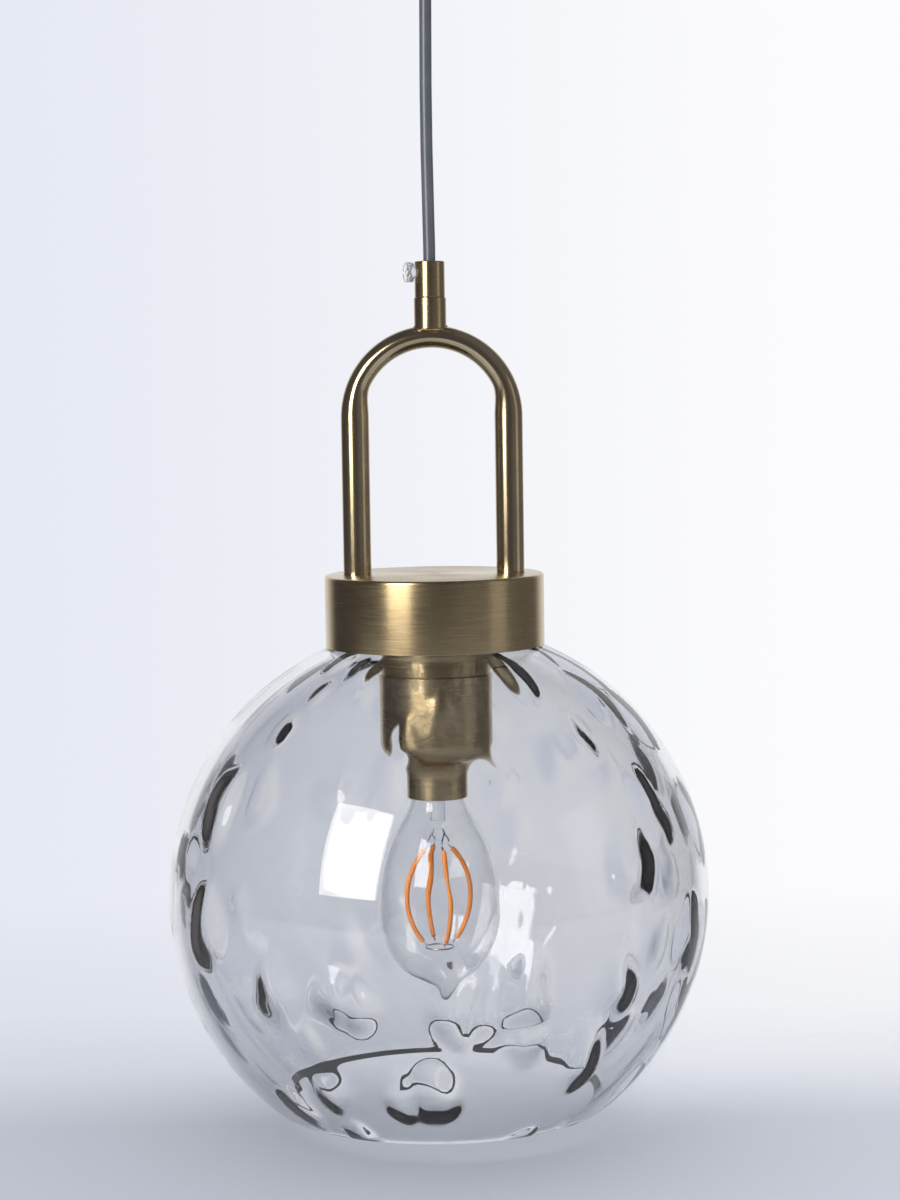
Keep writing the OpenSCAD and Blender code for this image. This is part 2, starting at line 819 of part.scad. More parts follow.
// Steel disc that rests on the glass and centres the collar
module seat_plate() {
    color(steel) difference() {
        translate([0, 0, seat_z]) cylinder(r = seat_plate_r, h = seat_t);
        translate([0, 0, seat_z - cut]) cylinder(r = m10_hole_r, h = seat_t + 2 * cut);
        translate([frame_earth_at[0], frame_earth_at[1], seat_z - cut])
            cylinder(r = earth_screw_d / 2 + thread_gap, h = seat_t + 2 * cut);
    }
}

// Silicone ring between the seat plate and the glass, with a lip in the glass's hole
module seat_gasket() {
    r = globe_r + thread_gap;
    lip_r = globe_hole_r - seam_gap;
    lip_z = globe_z + dome(globe_in_r, globe_hole_r) - 0.5;
    color(silicone) rotate_extrude() polygon(concat(
        [[lip_r - seat_lip_t, seat_z], [seat_gasket_out_r, seat_z]],
        arc(0, globe_z, r, acos(seat_gasket_out_r / r), acos(lip_r / r)),
        [[lip_r, lip_z], [lip_r - seat_lip_t, lip_z]]
    ));
}

// Blown glass globe, with a hole at the top and cut open at the bottom
module glass_globe() {
    color(clear_glass) translate([0, 0, globe_z]) difference() {
        sphere(r = globe_r, $fn = 160);
        sphere(r = globe_in_r, $fn = 160);
        cylinder(r = globe_hole_r, h = globe_d);
        translate([0, 0, -globe_open_drop - globe_d]) cylinder(r = globe_d, h = globe_d);
    }
}

// Silicone ring between the glass and the clamp cap
module clamp_gasket() {
    r = globe_in_r - thread_gap;
    color(silicone) rotate_extrude() polygon(concat(
        [[clamp_gasket_in_r, clamp_top_z], [clamp_gasket_out_r, clamp_top_z]],
        arc(0, globe_z, r, acos(clamp_gasket_out_r / r), acos(clamp_gasket_in_r / r))
    ));
}

// Brass cap pulled up against the glass from inside
module clamp_cap() {
    h = clamp_band_h + clamp_overlap;
    color(brass) difference() {
        translate([0, 0, clamp_top_z - h]) cylinder(r = clamp_r, h = h);
        translate([0, 0, clamp_top_z - h - cut])
            cylinder(r = clamp_r - clamp_wall, h = h - clamp_t + cut);
        translate([0, 0, clamp_top_z - clamp_t - cut])
            cylinder(r = m10_hole_r, h = clamp_t + 2 * cut);
    }
}

module clamp_nut() {
    color(steel) hex_nut(leg_nut_af, m10_hole_r, clamp_top_z - clamp_t - clamp_nut_h, clamp_nut_h);
}

// Spun brass cup around the lampholder, drawn in to a narrow mouth
module socket_cup() {
    bend_top = cup_end_z + cup_mouth_h + cup_curve_h;
    bend_end = cup_end_z + cup_mouth_h;
    outside = concat(
        [[cup_in_r + cup_wall, cup_top_z]],
        shoulder(cup_in_r + cup_wall, bend_top, cup_mouth_r + cup_wall, bend_end),
        [[cup_mouth_r + cup_wall, cup_end_z]]
    );
    inside = concat(
        [[cup_mouth_r, cup_end_z]],
        reversed(shoulder(cup_in_r, bend_top, cup_mouth_r, bend_end)),
        [[cup_in_r, cup_top_z]]
    );
    color(brass) rotate_extrude() polygon(concat(outside, inside));
}

// ---- Lampholder ----

// Threaded cover over the wiring chamber
module holder_cap() {
    color(porcelain) difference() {
        translate([0, 0, holder_body_z]) cylinder(r = holder_r, h = holder_cap_h);
        translate([0, 0, holder_body_z - cut])
            cylinder(r = holder_r - holder_cap_wall, h = holder_cap_h - holder_entry_t + cut);
        translate([0, 0, nipple_end_z - cut]) cylinder(r = m10_hole_r, h = holder_entry_t + 2 * cut);
    }
}

// Porcelain body around the screw shell
module holder_body() {
    end = holder_body_z - holder_body_h;
    color(porcelain) difference() {
        union() {
            translate([0, 0, end + holder_neck_h])
                cylinder(r = holder_r, h = holder_body_h - holder_neck_h);
            translate([0, 0, end]) cylinder(r = holder_neck_r, h = holder_neck_h + eps);
        }
        translate([0, 0, end - cut]) cylinder(r = holder_bore_r, h = holder_floor_z - end + cut);
    }
}

// Screw shell that takes the bulb's cap
module holder_shell() {
    color(steel) difference() {
        translate([0, 0, holder_floor_z - shell_h]) cylinder(r = shell_r, h = shell_h);
        translate([0, 0, holder_floor_z - shell_h - cut])
            cylinder(r = shell_in_r, h = shell_h - shell_wall + cut);
        translate([0, 0, holder_floor_z - 2 * cut]) cylinder(r = shell_flange_r, h = 3 * cut);
    }
}

// Springy tongue for the bulb's centre contact
module holder_contact() {
    drop = holder_floor_z - contact_top_z - contact_gap;
    t = tongue_t;
    foot = tongue_foot;
    tip = tongue_tip;
    color(steel) translate([0, tongue_w / 2, holder_floor_z]) rotate([90, 0, 0])
        linear_extrude(tongue_w) {
            polygon([[-foot, 0], [foot, 0], [foot, -t], [-foot, -t]]);
            polygon([[-foot, 0], [1 - foot, 0], [tip - 1, t / 2 - drop], [tip - 2, -drop]]);
            polygon([[-tip, t - drop], [tip, t - drop], [tip, -drop], [-tip, -drop]]);
        }
}

// Brass blocks that take the two wires
module holder_terminals() {
    s = terminal_size;
    color(brass) for (y = [-terminal_y, terminal_y]) translate([0, y, holder_body_z]) difference() {
        translate([-s[0] / 2, -s[1] / 2, 0]) cube(s);
        translate([0, 0, s[2] / 2]) rotate([0, 90, 0]) cylinder(r = wire_way_r, h = s[0]);
    }
}

// Screws that pinch the wires in those blocks
module holder_screws() {
    s = terminal_size;
    head = s[0] / 2 + fit_gap;
    color(steel) for (y = [-terminal_y, terminal_y])
        translate([0, y, holder_body_z + s[2] / 2]) rotate([0, 90, 0]) difference() {
            union() {
                cylinder(r = pinch_r, h = s[0] / 2 + pinch_proud);
                translate([0, 0, head]) cylinder(r = pinch_head_r, h = pinch_head_h);
            }
            driver_slot(head + pinch_head_h - slot_h);
        }
}

// ---- Bulb ----

// Solder button on the end of the cap
module bulb_contact() {
    color(solder) translate([0, 0, cap_top_z + insulator_h])
        cylinder(r1 = contact_r, r2 = contact_r - 1, h = contact_h);
}

// Black glass disc between the button and the cap
module bulb_insulator() {
    color(black_glass) translate([0, 0, cap_top_z])
        cylinder(r1 = cap_cone_r, r2 = contact_r + 0.5, h = insulator_h);
}

// Screw cap of the bulb, plain where its thread runs
module bulb_cap() {
    color(nickel) rotate_extrude() polygon([
        [cap_r - cap_wall, cap_rim_z],
        [cap_r, cap_rim_z],
        [cap_r, cap_top_z - cap_cone_h],
        [cap_cone_r, cap_top_z],
        [cap_cone_r - 3, cap_top_z],
        [cap_cone_r - 3, cap_top_z - cap_wall],
        [cap_cone_r - cap_wall, cap_top_z - cap_wall],
        [cap_r - cap_wall, cap_top_z - cap_cone_h - cap_wall]
    ]);
}

// Outline of the bulb's glass, from its neck down to its end, drawn in by t
function bulb_outline(t) = concat(
    [[neck_r - t, cap_rim_z + neck_in_cap]],
    curve(
        [neck_r - t, cup_end_z],
        [neck_r - t, cup_end_z - 9],
        [bulb_r - t, cup_end_z - 18],
        [bulb_r - t, bulb_wide_z]
    ),
    curve(
        [bulb_r - t, bulb_wide_z],
        [bulb_r - t, bulb_wide_z - 19],
        [0.6 * bulb_r, bulb_end_z + t],
        [0, bulb_end_z + t]
    )
);

module bulb_glass() {
    color(clear_glass) rotate_extrude()
        polygon(concat(bulb_outline(0), reversed(bulb_outline(bulb_wall))));
}

// Glass stem with the flattened press that holds the lead wires
module bulb_stem() {
    flare_z = cap_rim_z + 2;
    color(clear_glass) {
        rotate_extrude() polygon(concat(
            [[0, stem_end_z], [stem_r, stem_end_z]],
            curve(
                [stem_r, flare_z - 8],
                [stem_r, flare_z - 2],
                [stem_r + 2, flare_z],
                [neck_r - bulb_wall, flare_z]
            ),
            [[neck_r - bulb_wall, flare_z + 1], [0, flare_z + 1]]
        ));
        translate([-stem_r, -press_t / 2, stem_end_z - press_h])
            cube([2 * stem_r, press_t, press_h + eps]);
    }
}

// Round circuit board with its capacitor, inside the cap
module bulb_driver() {
    color(board_green) {
        translate([0, 0, driver_z]) cylinder(r = board_r, h = board_t);
        translate([0, 0, driver_z - capacitor_h]) cylinder(r = capacitor_r, h = capacitor_h + eps);
    }
}

// Angle of filament k about the bulb's axis
function filament_angle(k) = filament_start_angle + 90 * (k - 1);

// A bowed stick of phosphor-coated chips
module filament(k) {
    lean = atan((filament_end_r - filament_top_r) / filament_h);
    chord = filament_h / cos(lean);
    bow_r = (chord * chord / 4 + filament_bow * filament_bow) / (2 * filament_bow);
    half_turn = asin(chord / 2 / bow_r);
    middle = [(filament_top_r + filament_end_r) / 2, 0, (filament_top_z + filament_end_z) / 2];
    color(phosphor) rotate([0, 0, filament_angle(k)]) translate(middle) rotate([0, -lean, 0])
        translate([filament_bow - bow_r, 0, 0]) rotate([90, 0, 0])
            rotate_extrude(angle = 2 * half_turn, start = -half_turn)
                translate([bow_r, 0]) circle(r = filament_d / 2, $fn = 24);
}

module filament_1() {
    filament(1);
}

module filament_2() {
    filament(2);
}

module filament_3() {
    filament(3);
}

module filament_4() {
    filament(4);
}

// A wire from the stem's press to the tops of two filaments, x is the side it starts on
module lead_wire(x, first, second) {
    start = [x, 0, stem_end_z - press_h - seam_gap];
    fork = [1.4 * x, 0, start[2] - 2];
    color(steel) for (k = [first, second]) {
        tip = [
            filament_top_r * cos(filament_angle(k)),
            filament_top_r * sin(filament_angle(k)),
            filament_top_z + filament_d / 2
        ];
        swept(smooth([start, fork, tip + [0, 0, 1.5], tip], 4), lead_wire_d, lead_sides, [0.1, 1, 0]);
    }
}

module lead_wire_a() {
    lead_wire(2, 1, 4);
}

module lead_wire_b() {
    lead_wire(-2, 2, 3);
}

// Wire ring that joins the lower ends of the filaments
module filament_link() {
    color(steel) translate([0, 0, filament_end_z - filament_d / 2 - lead_wire_d / 2])
        rotate_extrude() translate([filament_end_r, 0]) circle(r = lead_wire_d / 2, $fn = 16);
}

ceiling_bracket();
canopy_studs();
canopy();
canopy_cap_nuts();
canopy_grip();
canopy_grip_nut();
canopy_lock_screw();
terminal_block();
terminal_screws();
ceiling_earth_screw();
cord_tail();
ceiling_live_lead();
ceiling_neutral_lead();
ceiling_earth_lead();
power_cord();
cord_grip();
grip_lock_screw();
cord_sheath_end();
handle_coupler();
handle_tube();
leg_studs();
leg_washers();
leg_nuts();
live_wire();
neutral_wire();
earth_wire();
frame_earth_screw();
collar();
carrier_bracket();
hollow_nipple();
nipple_nut();
seat_plate();
seat_gasket();
glass_globe();
clamp_gasket();
clamp_cap();
clamp_nut();
socket_cup();
holder_cap();
holder_body();
holder_shell();
holder_contact();
holder_terminals();
holder_screws();
bulb_contact();
bulb_insulator();
bulb_cap();
bulb_glass();
bulb_stem();
bulb_driver();
lead_wire_a();
lead_wire_b();
filament_1();
filament_2();
filament_3();
filament_4();
filament_link();
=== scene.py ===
import json
import math

import bmesh
import bpy
import numpy as np
from mathutils import Matrix, Vector


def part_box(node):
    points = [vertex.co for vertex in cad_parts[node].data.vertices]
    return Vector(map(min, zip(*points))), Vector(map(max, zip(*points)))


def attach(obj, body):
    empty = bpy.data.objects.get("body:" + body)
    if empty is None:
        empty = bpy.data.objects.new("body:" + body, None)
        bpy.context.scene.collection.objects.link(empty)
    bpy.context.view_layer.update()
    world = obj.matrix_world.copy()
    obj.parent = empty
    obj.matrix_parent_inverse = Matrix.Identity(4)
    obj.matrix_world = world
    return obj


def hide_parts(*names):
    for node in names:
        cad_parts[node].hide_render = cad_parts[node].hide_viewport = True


# Pendant ceiling light: rippled clear globe, brushed brass collar and cup, tube handle, round cord.
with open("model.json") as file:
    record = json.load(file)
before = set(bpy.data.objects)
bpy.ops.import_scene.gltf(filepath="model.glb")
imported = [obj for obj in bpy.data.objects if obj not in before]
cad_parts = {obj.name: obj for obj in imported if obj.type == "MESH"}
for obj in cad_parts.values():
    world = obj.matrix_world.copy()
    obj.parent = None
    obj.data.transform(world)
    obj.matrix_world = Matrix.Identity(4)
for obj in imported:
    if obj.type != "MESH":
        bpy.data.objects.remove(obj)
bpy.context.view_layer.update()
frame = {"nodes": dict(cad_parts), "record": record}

MM = 0.001
scene = bpy.context.scene
nodes = frame["nodes"]
record = frame["record"]
body_of_node = {n: b for b, names in record["behaviour"]["bodies"].items() for n in names}
slot_of_node = {part["node"]: part["material_slot"] for part in record["subparts"]}

# Heights and radii of the pendant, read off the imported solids
grip_low, grip_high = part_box("cord_grip")
coupler_low, coupler_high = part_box("handle_coupler")
tube_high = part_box("handle_tube")[1]
collar_low, collar_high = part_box("collar")
globe_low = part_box("glass_globe")[0]
clamp_low, clamp_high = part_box("clamp_cap")
cup_low, cup_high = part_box("socket_cup")
bulb_low, bulb_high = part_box("bulb_glass")
cap_low, cap_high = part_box("bulb_cap")
shell_low, shell_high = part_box("holder_shell")
canopy_low, canopy_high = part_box("canopy")
canopy_grip_low, canopy_grip_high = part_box("canopy_grip")

globe_r = 0.125
globe_wall = 0.004
globe_open_drop = 0.097
globe_hole_r = 0.021
globe_z = globe_low.z + globe_open_drop
seam_z = coupler_high.z
arch_top_z = tube_high.z
collar_top_z = collar_high.z
tube_r = 0.0065
leg_x = tube_high.x - tube_r
arch_centre_z = arch_top_z - tube_r - leg_x


# ---- Camera ----

camera = bpy.data.objects.new("studio_camera", bpy.data.cameras.new("studio_camera"))
scene.collection.objects.link(camera)
scene.camera = camera
camera.data.sensor_width = 36
camera.data.lens = 76.2
camera.data.clip_start = 0.05
camera_turn = Matrix.Rotation(math.radians(-0.35), 4, "Z")
camera_pitch = Matrix.Rotation(math.radians(90 - 4.7), 4, "X")
camera_roll = Matrix.Rotation(math.radians(-0.85), 4, "Z")
camera.matrix_world = (
    Matrix.Translation((0, -1.168, globe_z + 0.2318)) @ camera_turn @ camera_pitch @ camera_roll
)


# ---- Node tree helpers ----


def add(tree, kind, inputs=None, **settings):
    """A node with its settings, and each named input either linked or set."""
    node = tree.nodes.new(kind)
    for key, value in settings.items():
        setattr(node, key, value)
    for key, value in (inputs or {}).items():
        if isinstance(value, bpy.types.NodeSocket):
            tree.links.new(value, node.inputs[key])
        else:
            node.inputs[key].default_value = value
    return node


def maths(tree, operation, first, second=0.0, third=None, clamp=False):
    """The result of one maths node."""
    inputs = {0: first, 1: second}
    if third is not None:
        inputs[2] = third
    return add(tree, "ShaderNodeMath", inputs, operation=operation, use_clamp=clamp).outputs[0]


def vectors(tree, operation, *given, scale=None):
    """The result of one vector maths node."""
    inputs = dict(enumerate(given))
    if scale is not None:
        inputs["Scale"] = scale
    node = add(tree, "ShaderNodeVectorMath", inputs, operation=operation)
    return node.outputs["Value" if operation == "LENGTH" else "Vector"]


def split(tree, vector):
    """A vector's x, y and z."""
    return add(tree, "ShaderNodeSeparateXYZ", {0: vector}).outputs


def together(tree, x=0.0, y=0.0, z=0.0):
    """A vector made of x, y and z."""
    return add(tree, "ShaderNodeCombineXYZ", {0: x, 1: y, 2: z}).outputs[0]


def noise(tree, where, scale, detail, **more):
    """Noise's value at a place."""
    inputs = {"Vector": where, "Scale": scale, "Detail": detail, **more}
    return add(tree, "ShaderNodeTexNoise", inputs).outputs[0]


def blend_colour(tree, factor, first, second):
    """A colour between two others."""
    node = add(tree, "ShaderNodeMix", {0: factor, 6: first, 7: second}, data_type="RGBA")
    return node.outputs[2]


def ranged(tree, value, low, high, to_low=0.0, to_high=1.0, smooth=False):
    """A value moved from one range to another and held within it."""
    node = add(
        tree,
        "ShaderNodeMapRange",
        {0: value, 1: low, 2: high, 3: to_low, 4: to_high},
        interpolation_type="SMOOTHSTEP" if smooth else "LINEAR",
    )
    return node.outputs[0]


def object_place(tree):
    """Where a point lies in its object's own space."""
    return add(tree, "ShaderNodeTexCoord").outputs["Object"]


def effect(name, inputs, outputs):
    """An empty shader group with its sockets: the tree, its inputs by name, and its output node."""
    tree = bpy.data.node_groups.new(name, "ShaderNodeTree")
    for label, value in inputs:
        socket = tree.interface.new_socket(label, in_out="INPUT", socket_type="NodeSocketFloat")
        socket.default_value = value
    for label, kind in outputs:
        tree.interface.new_socket(label, in_out="OUTPUT", socket_type=kind)
    return tree, tree.nodes.new("NodeGroupInput").outputs, tree.nodes.new("NodeGroupOutput")


def use(tree, group, **values):
    """One of the shared effects placed in a material with its own values."""
    node = tree.nodes.new("ShaderNodeGroup")
    node.node_tree = group
    for label, value in values.items():
        node.inputs[label.replace("_", " ")].default_value = value
    return node.outputs


# ---- Shared effects ----


def make_turned_lines():
    """Fine marks that run round the lamp's axis, as brushing on a lathe leaves."""
    tree, given, out = effect(
        "turned lines",
        [("Lines", 2600.0), ("Run", 3.0), ("Bands", 90.0)],
        [("Lines", "NodeSocketFloat"), ("Bands", "NodeSocketFloat")],
    )
    xyz = split(tree, object_place(tree))
    flat = together(tree, xyz[0], xyz[1])
    around = vectors(tree, "SCALE", vectors(tree, "NORMALIZE", flat), scale=given["Run"])
    across = maths(tree, "ADD", xyz[2], vectors(tree, "LENGTH", flat))
    for label in ("Lines", "Bands"):
        step = together(tree, z=maths(tree, "MULTIPLY", across, given[label]))
        where = vectors(tree, "ADD", around, step)
        tree.links.new(noise(tree, where, 1.0, 3.0, Roughness=0.6), out.inputs[label])
    return tree


def make_handling():
    """Soft smudges and fine specks left by hands and age."""
    tree, given, out = effect(
        "handling",
        [("Smudge Scale", 28.0), ("Speck Scale", 900.0), ("Speck Cut", 0.66)],
        [("Smudge", "NodeSocketFloat"), ("Speck", "NodeSocketFloat")],
    )
    place = object_place(tree)
    smudge = noise(tree, place, given["Smudge Scale"], 4.0, Distortion=0.6)
    speck = noise(tree, place, given["Speck Scale"], 2.0)
    above = maths(tree, "SUBTRACT", speck, given["Speck Cut"])
    tree.links.new(ranged(tree, smudge, 0.3, 0.7, smooth=True), out.inputs["Smudge"])
    tree.links.new(maths(tree, "MULTIPLY", above, 12.0, clamp=True), out.inputs["Speck"])
    return tree


def make_edge_wear():
    """Bright where an edge has been rubbed, broken up by noise."""
    tree, given, out = effect(
        "edge wear",
        [("Width", 0.06), ("Break Up", 220.0)],
        [("Worn", "NodeSocketFloat")],
    )
    point = add(tree, "ShaderNodeNewGeometry").outputs["Pointiness"]
    edge = maths(tree, "DIVIDE", maths(tree, "SUBTRACT", point, 0.51), given["Width"], clamp=True)
    broken = ranged(tree, noise(tree, object_place(tree), given["Break Up"], 3.0), 0.35, 0.65)
    tree.links.new(maths(tree, "MULTIPLY", edge, broken, clamp=True), out.inputs["Worn"])
    return tree


def make_settled_dust():
    """Dust that settles on faces that look up."""
    tree, given, out = effect(
        "settled dust", [("Amount", 0.25), ("Patch Scale", 60.0)], [("Dust", "NodeSocketFloat")]
    )
    up = split(tree, add(tree, "ShaderNodeNewGeometry").outputs["Normal"])[2]
    patch = noise(tree, object_place(tree), given["Patch Scale"], 6.0)
    lying = maths(tree, "MULTIPLY", ranged(tree, up, 0.2, 0.95), ranged(tree, patch, 0.35, 0.7))
    tree.links.new(maths(tree, "MULTIPLY", lying, given["Amount"], clamp=True), out.inputs["Dust"])
    return tree


def make_grain():
    """Fine pebbling of moulded plastic, glaze or extruded sheath."""
    tree, given, out = effect(
        "moulded grain",
        [("Scale", 1400.0), ("Broad", 60.0)],
        [("Grain", "NodeSocketFloat"), ("Cloud", "NodeSocketFloat")],
    )
    place = object_place(tree)
    tree.links.new(noise(tree, place, given["Scale"], 2.0), out.inputs["Grain"])
    tree.links.new(noise(tree, place, given["Broad"], 3.0), out.inputs["Cloud"])
    return tree


turned_lines = make_turned_lines()
handling = make_handling()
edge_wear = make_edge_wear()
settled_dust = make_settled_dust()
grain = make_grain()


# ---- Finishes ----

RUBBED_BRASS = (0.86, 0.7, 0.43, 1)
PALE_DUST = (0.62, 0.61, 0.6, 1)


def finish_of(name, **constants):
    """A material with one Principled shader, whose plain values are set on its own sockets."""
    made = bpy.data.materials.new(name)
    made.use_nodes = True
    tree = made.node_tree
    shader = tree.nodes["Principled BSDF"]
    for label, value in constants.items():
        shader.inputs[label.replace("_", " ")].default_value = value
    return made, tree, shader


def bump(tree, shader, height, strength, distance):
    """Raises a shader's surface by a height."""
    inputs = {"Height": height, "Strength": strength, "Distance": distance}
    tree.links.new(add(tree, "ShaderNodeBump", inputs).outputs[0], shader.inputs["Normal"])


def share(tree, mask, amount):
    """A mask made weaker."""
    return maths(tree, "MULTIPLY", mask, amount)


def dusted_metal(tree, shader, tone, dust):
    """Gives metal its colour with dust over it; the dust is not metallic."""
    tone = blend_colour(tree, dust, tone, PALE_DUST)
    tree.links.new(tone, shader.inputs["Base Color"])
    bare = maths(tree, "SUBTRACT", 1.0, dust, clamp=True)
    tree.links.new(bare, shader.inputs["Metallic"])


def turned_brass(name, deep, pale, rough, strength, dust):
    """Brass brushed round its axis and lacquered."""
    made, tree, shader = finish_of(name, Anisotropic=0.6, Anisotropic_Rotation=0.25)
    tangent = add(tree, "ShaderNodeTangent", direction_type="RADIAL", axis="Z")
    tree.links.new(tangent.outputs[0], shader.inputs["Tangent"])
    marks = use(tree, turned_lines)
    hands = use(tree, handling)
    worn = use(tree, edge_wear)
    lying = use(tree, settled_dust, Amount=dust)["Dust"]
    tone = blend_colour(tree, ranged(tree, marks["Lines"], 0.3, 0.7), deep, pale)
    tone = blend_colour(tree, share(tree, hands["Smudge"], 0.25), tone, deep)
    tone = blend_colour(tree, share(tree, worn["Worn"], 0.6), tone, RUBBED_BRASS)
    dusted_metal(tree, shader, tone, lying)
    spread = maths(tree, "MULTIPLY_ADD", marks["Lines"], 0.12, rough - 0.06)
    spread = maths(tree, "MULTIPLY_ADD", hands["Smudge"], 0.05, spread)
    tree.links.new(maths(tree, "ADD", spread, lying, clamp=True), shader.inputs["Roughness"])
    bump(tree, shader, marks["Lines"], strength, 0.00004)
    return made


def smooth_brass(name, deep, pale, rough, dust=0.08):
    """Satin drawn brass, lightly handled."""
    made, tree, shader = finish_of(name, Coat_Weight=0.15, Coat_Roughness=0.12)
    hands = use(tree, handling, Smudge_Scale=40.0)
    marks = use(tree, turned_lines, Lines=700.0, Run=40.0)
    worn = use(tree, edge_wear)
    tone = blend_colour(tree, hands["Smudge"], pale, deep)
    tone = blend_colour(tree, share(tree, hands["Speck"], 0.35), tone, (0.2, 0.15, 0.08, 1))
    tone = blend_colour(tree, share(tree, worn["Worn"], 0.5), tone, RUBBED_BRASS)
    dusted_metal(tree, shader, tone, use(tree, settled_dust, Amount=dust)["Dust"])
    spread = maths(tree, "MULTIPLY_ADD", marks["Lines"], 0.03, rough - 0.015)
    spread = maths(tree, "MULTIPLY_ADD", hands["Smudge"], 0.05, spread)
    tree.links.new(spread, shader.inputs["Roughness"])
    bump(tree, shader, marks["Lines"], 0.04, 0.00003)
    return made


def plain_metal(name, deep, pale, rough, patch=90.0):
    """Plated or bare metal with clouding and rubbed edges."""
    made, tree, shader = finish_of(name, Metallic=1.0)
    hands = use(tree, handling, Smudge_Scale=patch)
    worn = use(tree, edge_wear)
    tone = blend_colour(tree, hands["Smudge"], pale, deep)
    tone = blend_colour(tree, share(tree, worn["Worn"], 0.5), tone, (0.85, 0.85, 0.85, 1))
    tree.links.new(tone, shader.inputs["Base Color"])
    spread = maths(tree, "MULTIPLY_ADD", hands["Smudge"], 0.12, rough - 0.06)
    tree.links.new(spread, shader.inputs["Roughness"])
    bump(tree, shader, hands["Smudge"], 0.1, 0.00005)
    return made


def moulded(name, deep, pale, rough, scale=1400.0, strength=0.15, dust=0.1, **constants):
    """Plastic, rubber, enamel or glaze with grain, clouding and a little dust."""
    made, tree, shader = finish_of(name, **constants)
    skin = use(tree, grain, Scale=scale)
    lying = use(tree, settled_dust, Amount=dust)["Dust"]
    tone = blend_colour(tree, ranged(tree, skin["Cloud"], 0.3, 0.7), deep, pale)
    tone = blend_colour(tree, lying, tone, (0.55, 0.55, 0.55, 1))
    tree.links.new(tone, shader.inputs["Base Color"])
    spread = maths(tree, "MULTIPLY_ADD", skin["Cloud"], 0.12, rough - 0.06)
    tree.links.new(maths(tree, "ADD", spread, lying, clamp=True), shader.inputs["Roughness"])
    bump(tree, shader, skin["Grain"], strength, 0.00004)
    return made


def clear_glass(name, tint, dim, paint_dark_streaks=True):
    """Clear glass that lets lamp rays through, with painted shade: a dark diffuse colour mixed in
    where a face seen from its back slopes steeply to the view, standing in for rays turned back
    inside the wall.
    """
    made, tree, shader = finish_of(name, Metallic=0.0, Transmission_Weight=1.0, IOR=1.5)
    skin = use(tree, grain, Scale=35.0, Broad=14.0)
    tone = blend_colour(tree, ranged(tree, skin["Cloud"], 0.3, 0.7), tint, dim)
    tree.links.new(tone, shader.inputs["Base Color"])
    smear = share(tree, ranged(tree, skin["Grain"], 0.55, 0.8), 0.03)
    tree.links.new(smear, shader.inputs["Roughness"])
    surface = shader.outputs[0]
    if paint_dark_streaks:
        # Painted shade: a dark diffuse colour mixed in on steep back faces, in place of the dark
        # streaks that rays turned back inside the wall would show.
        inside = add(tree, "ShaderNodeNewGeometry").outputs["Backfacing"]
        tilt = add(tree, "ShaderNodeLayerWeight", {"Blend": 0.5}).outputs["Facing"]
        steep = ranged(tree, tilt, 0.27, 0.42, 0, 0.9, smooth=True)
        shade = add(tree, "ShaderNodeBsdfDiffuse", {"Color": (0.115, 0.109, 0.107, 1)}).outputs[0]
        turned = maths(tree, "MULTIPLY", steep, inside)
        surface = add(tree, "ShaderNodeMixShader", {0: turned, 1: surface, 2: shade}).outputs[0]
    lamp_ray = add(tree, "ShaderNodeLightPath").outputs["Is Shadow Ray"]
    through = add(tree, "ShaderNodeBsdfTransparent", {"Color": (0.93, 0.94, 0.95, 1)}).outputs[0]
    last = add(tree, "ShaderNodeMixShader", {0: lamp_ray, 1: surface, 2: through})
    tree.links.new(last.outputs[0], tree.nodes["Material Output"].inputs["Surface"])
    return made


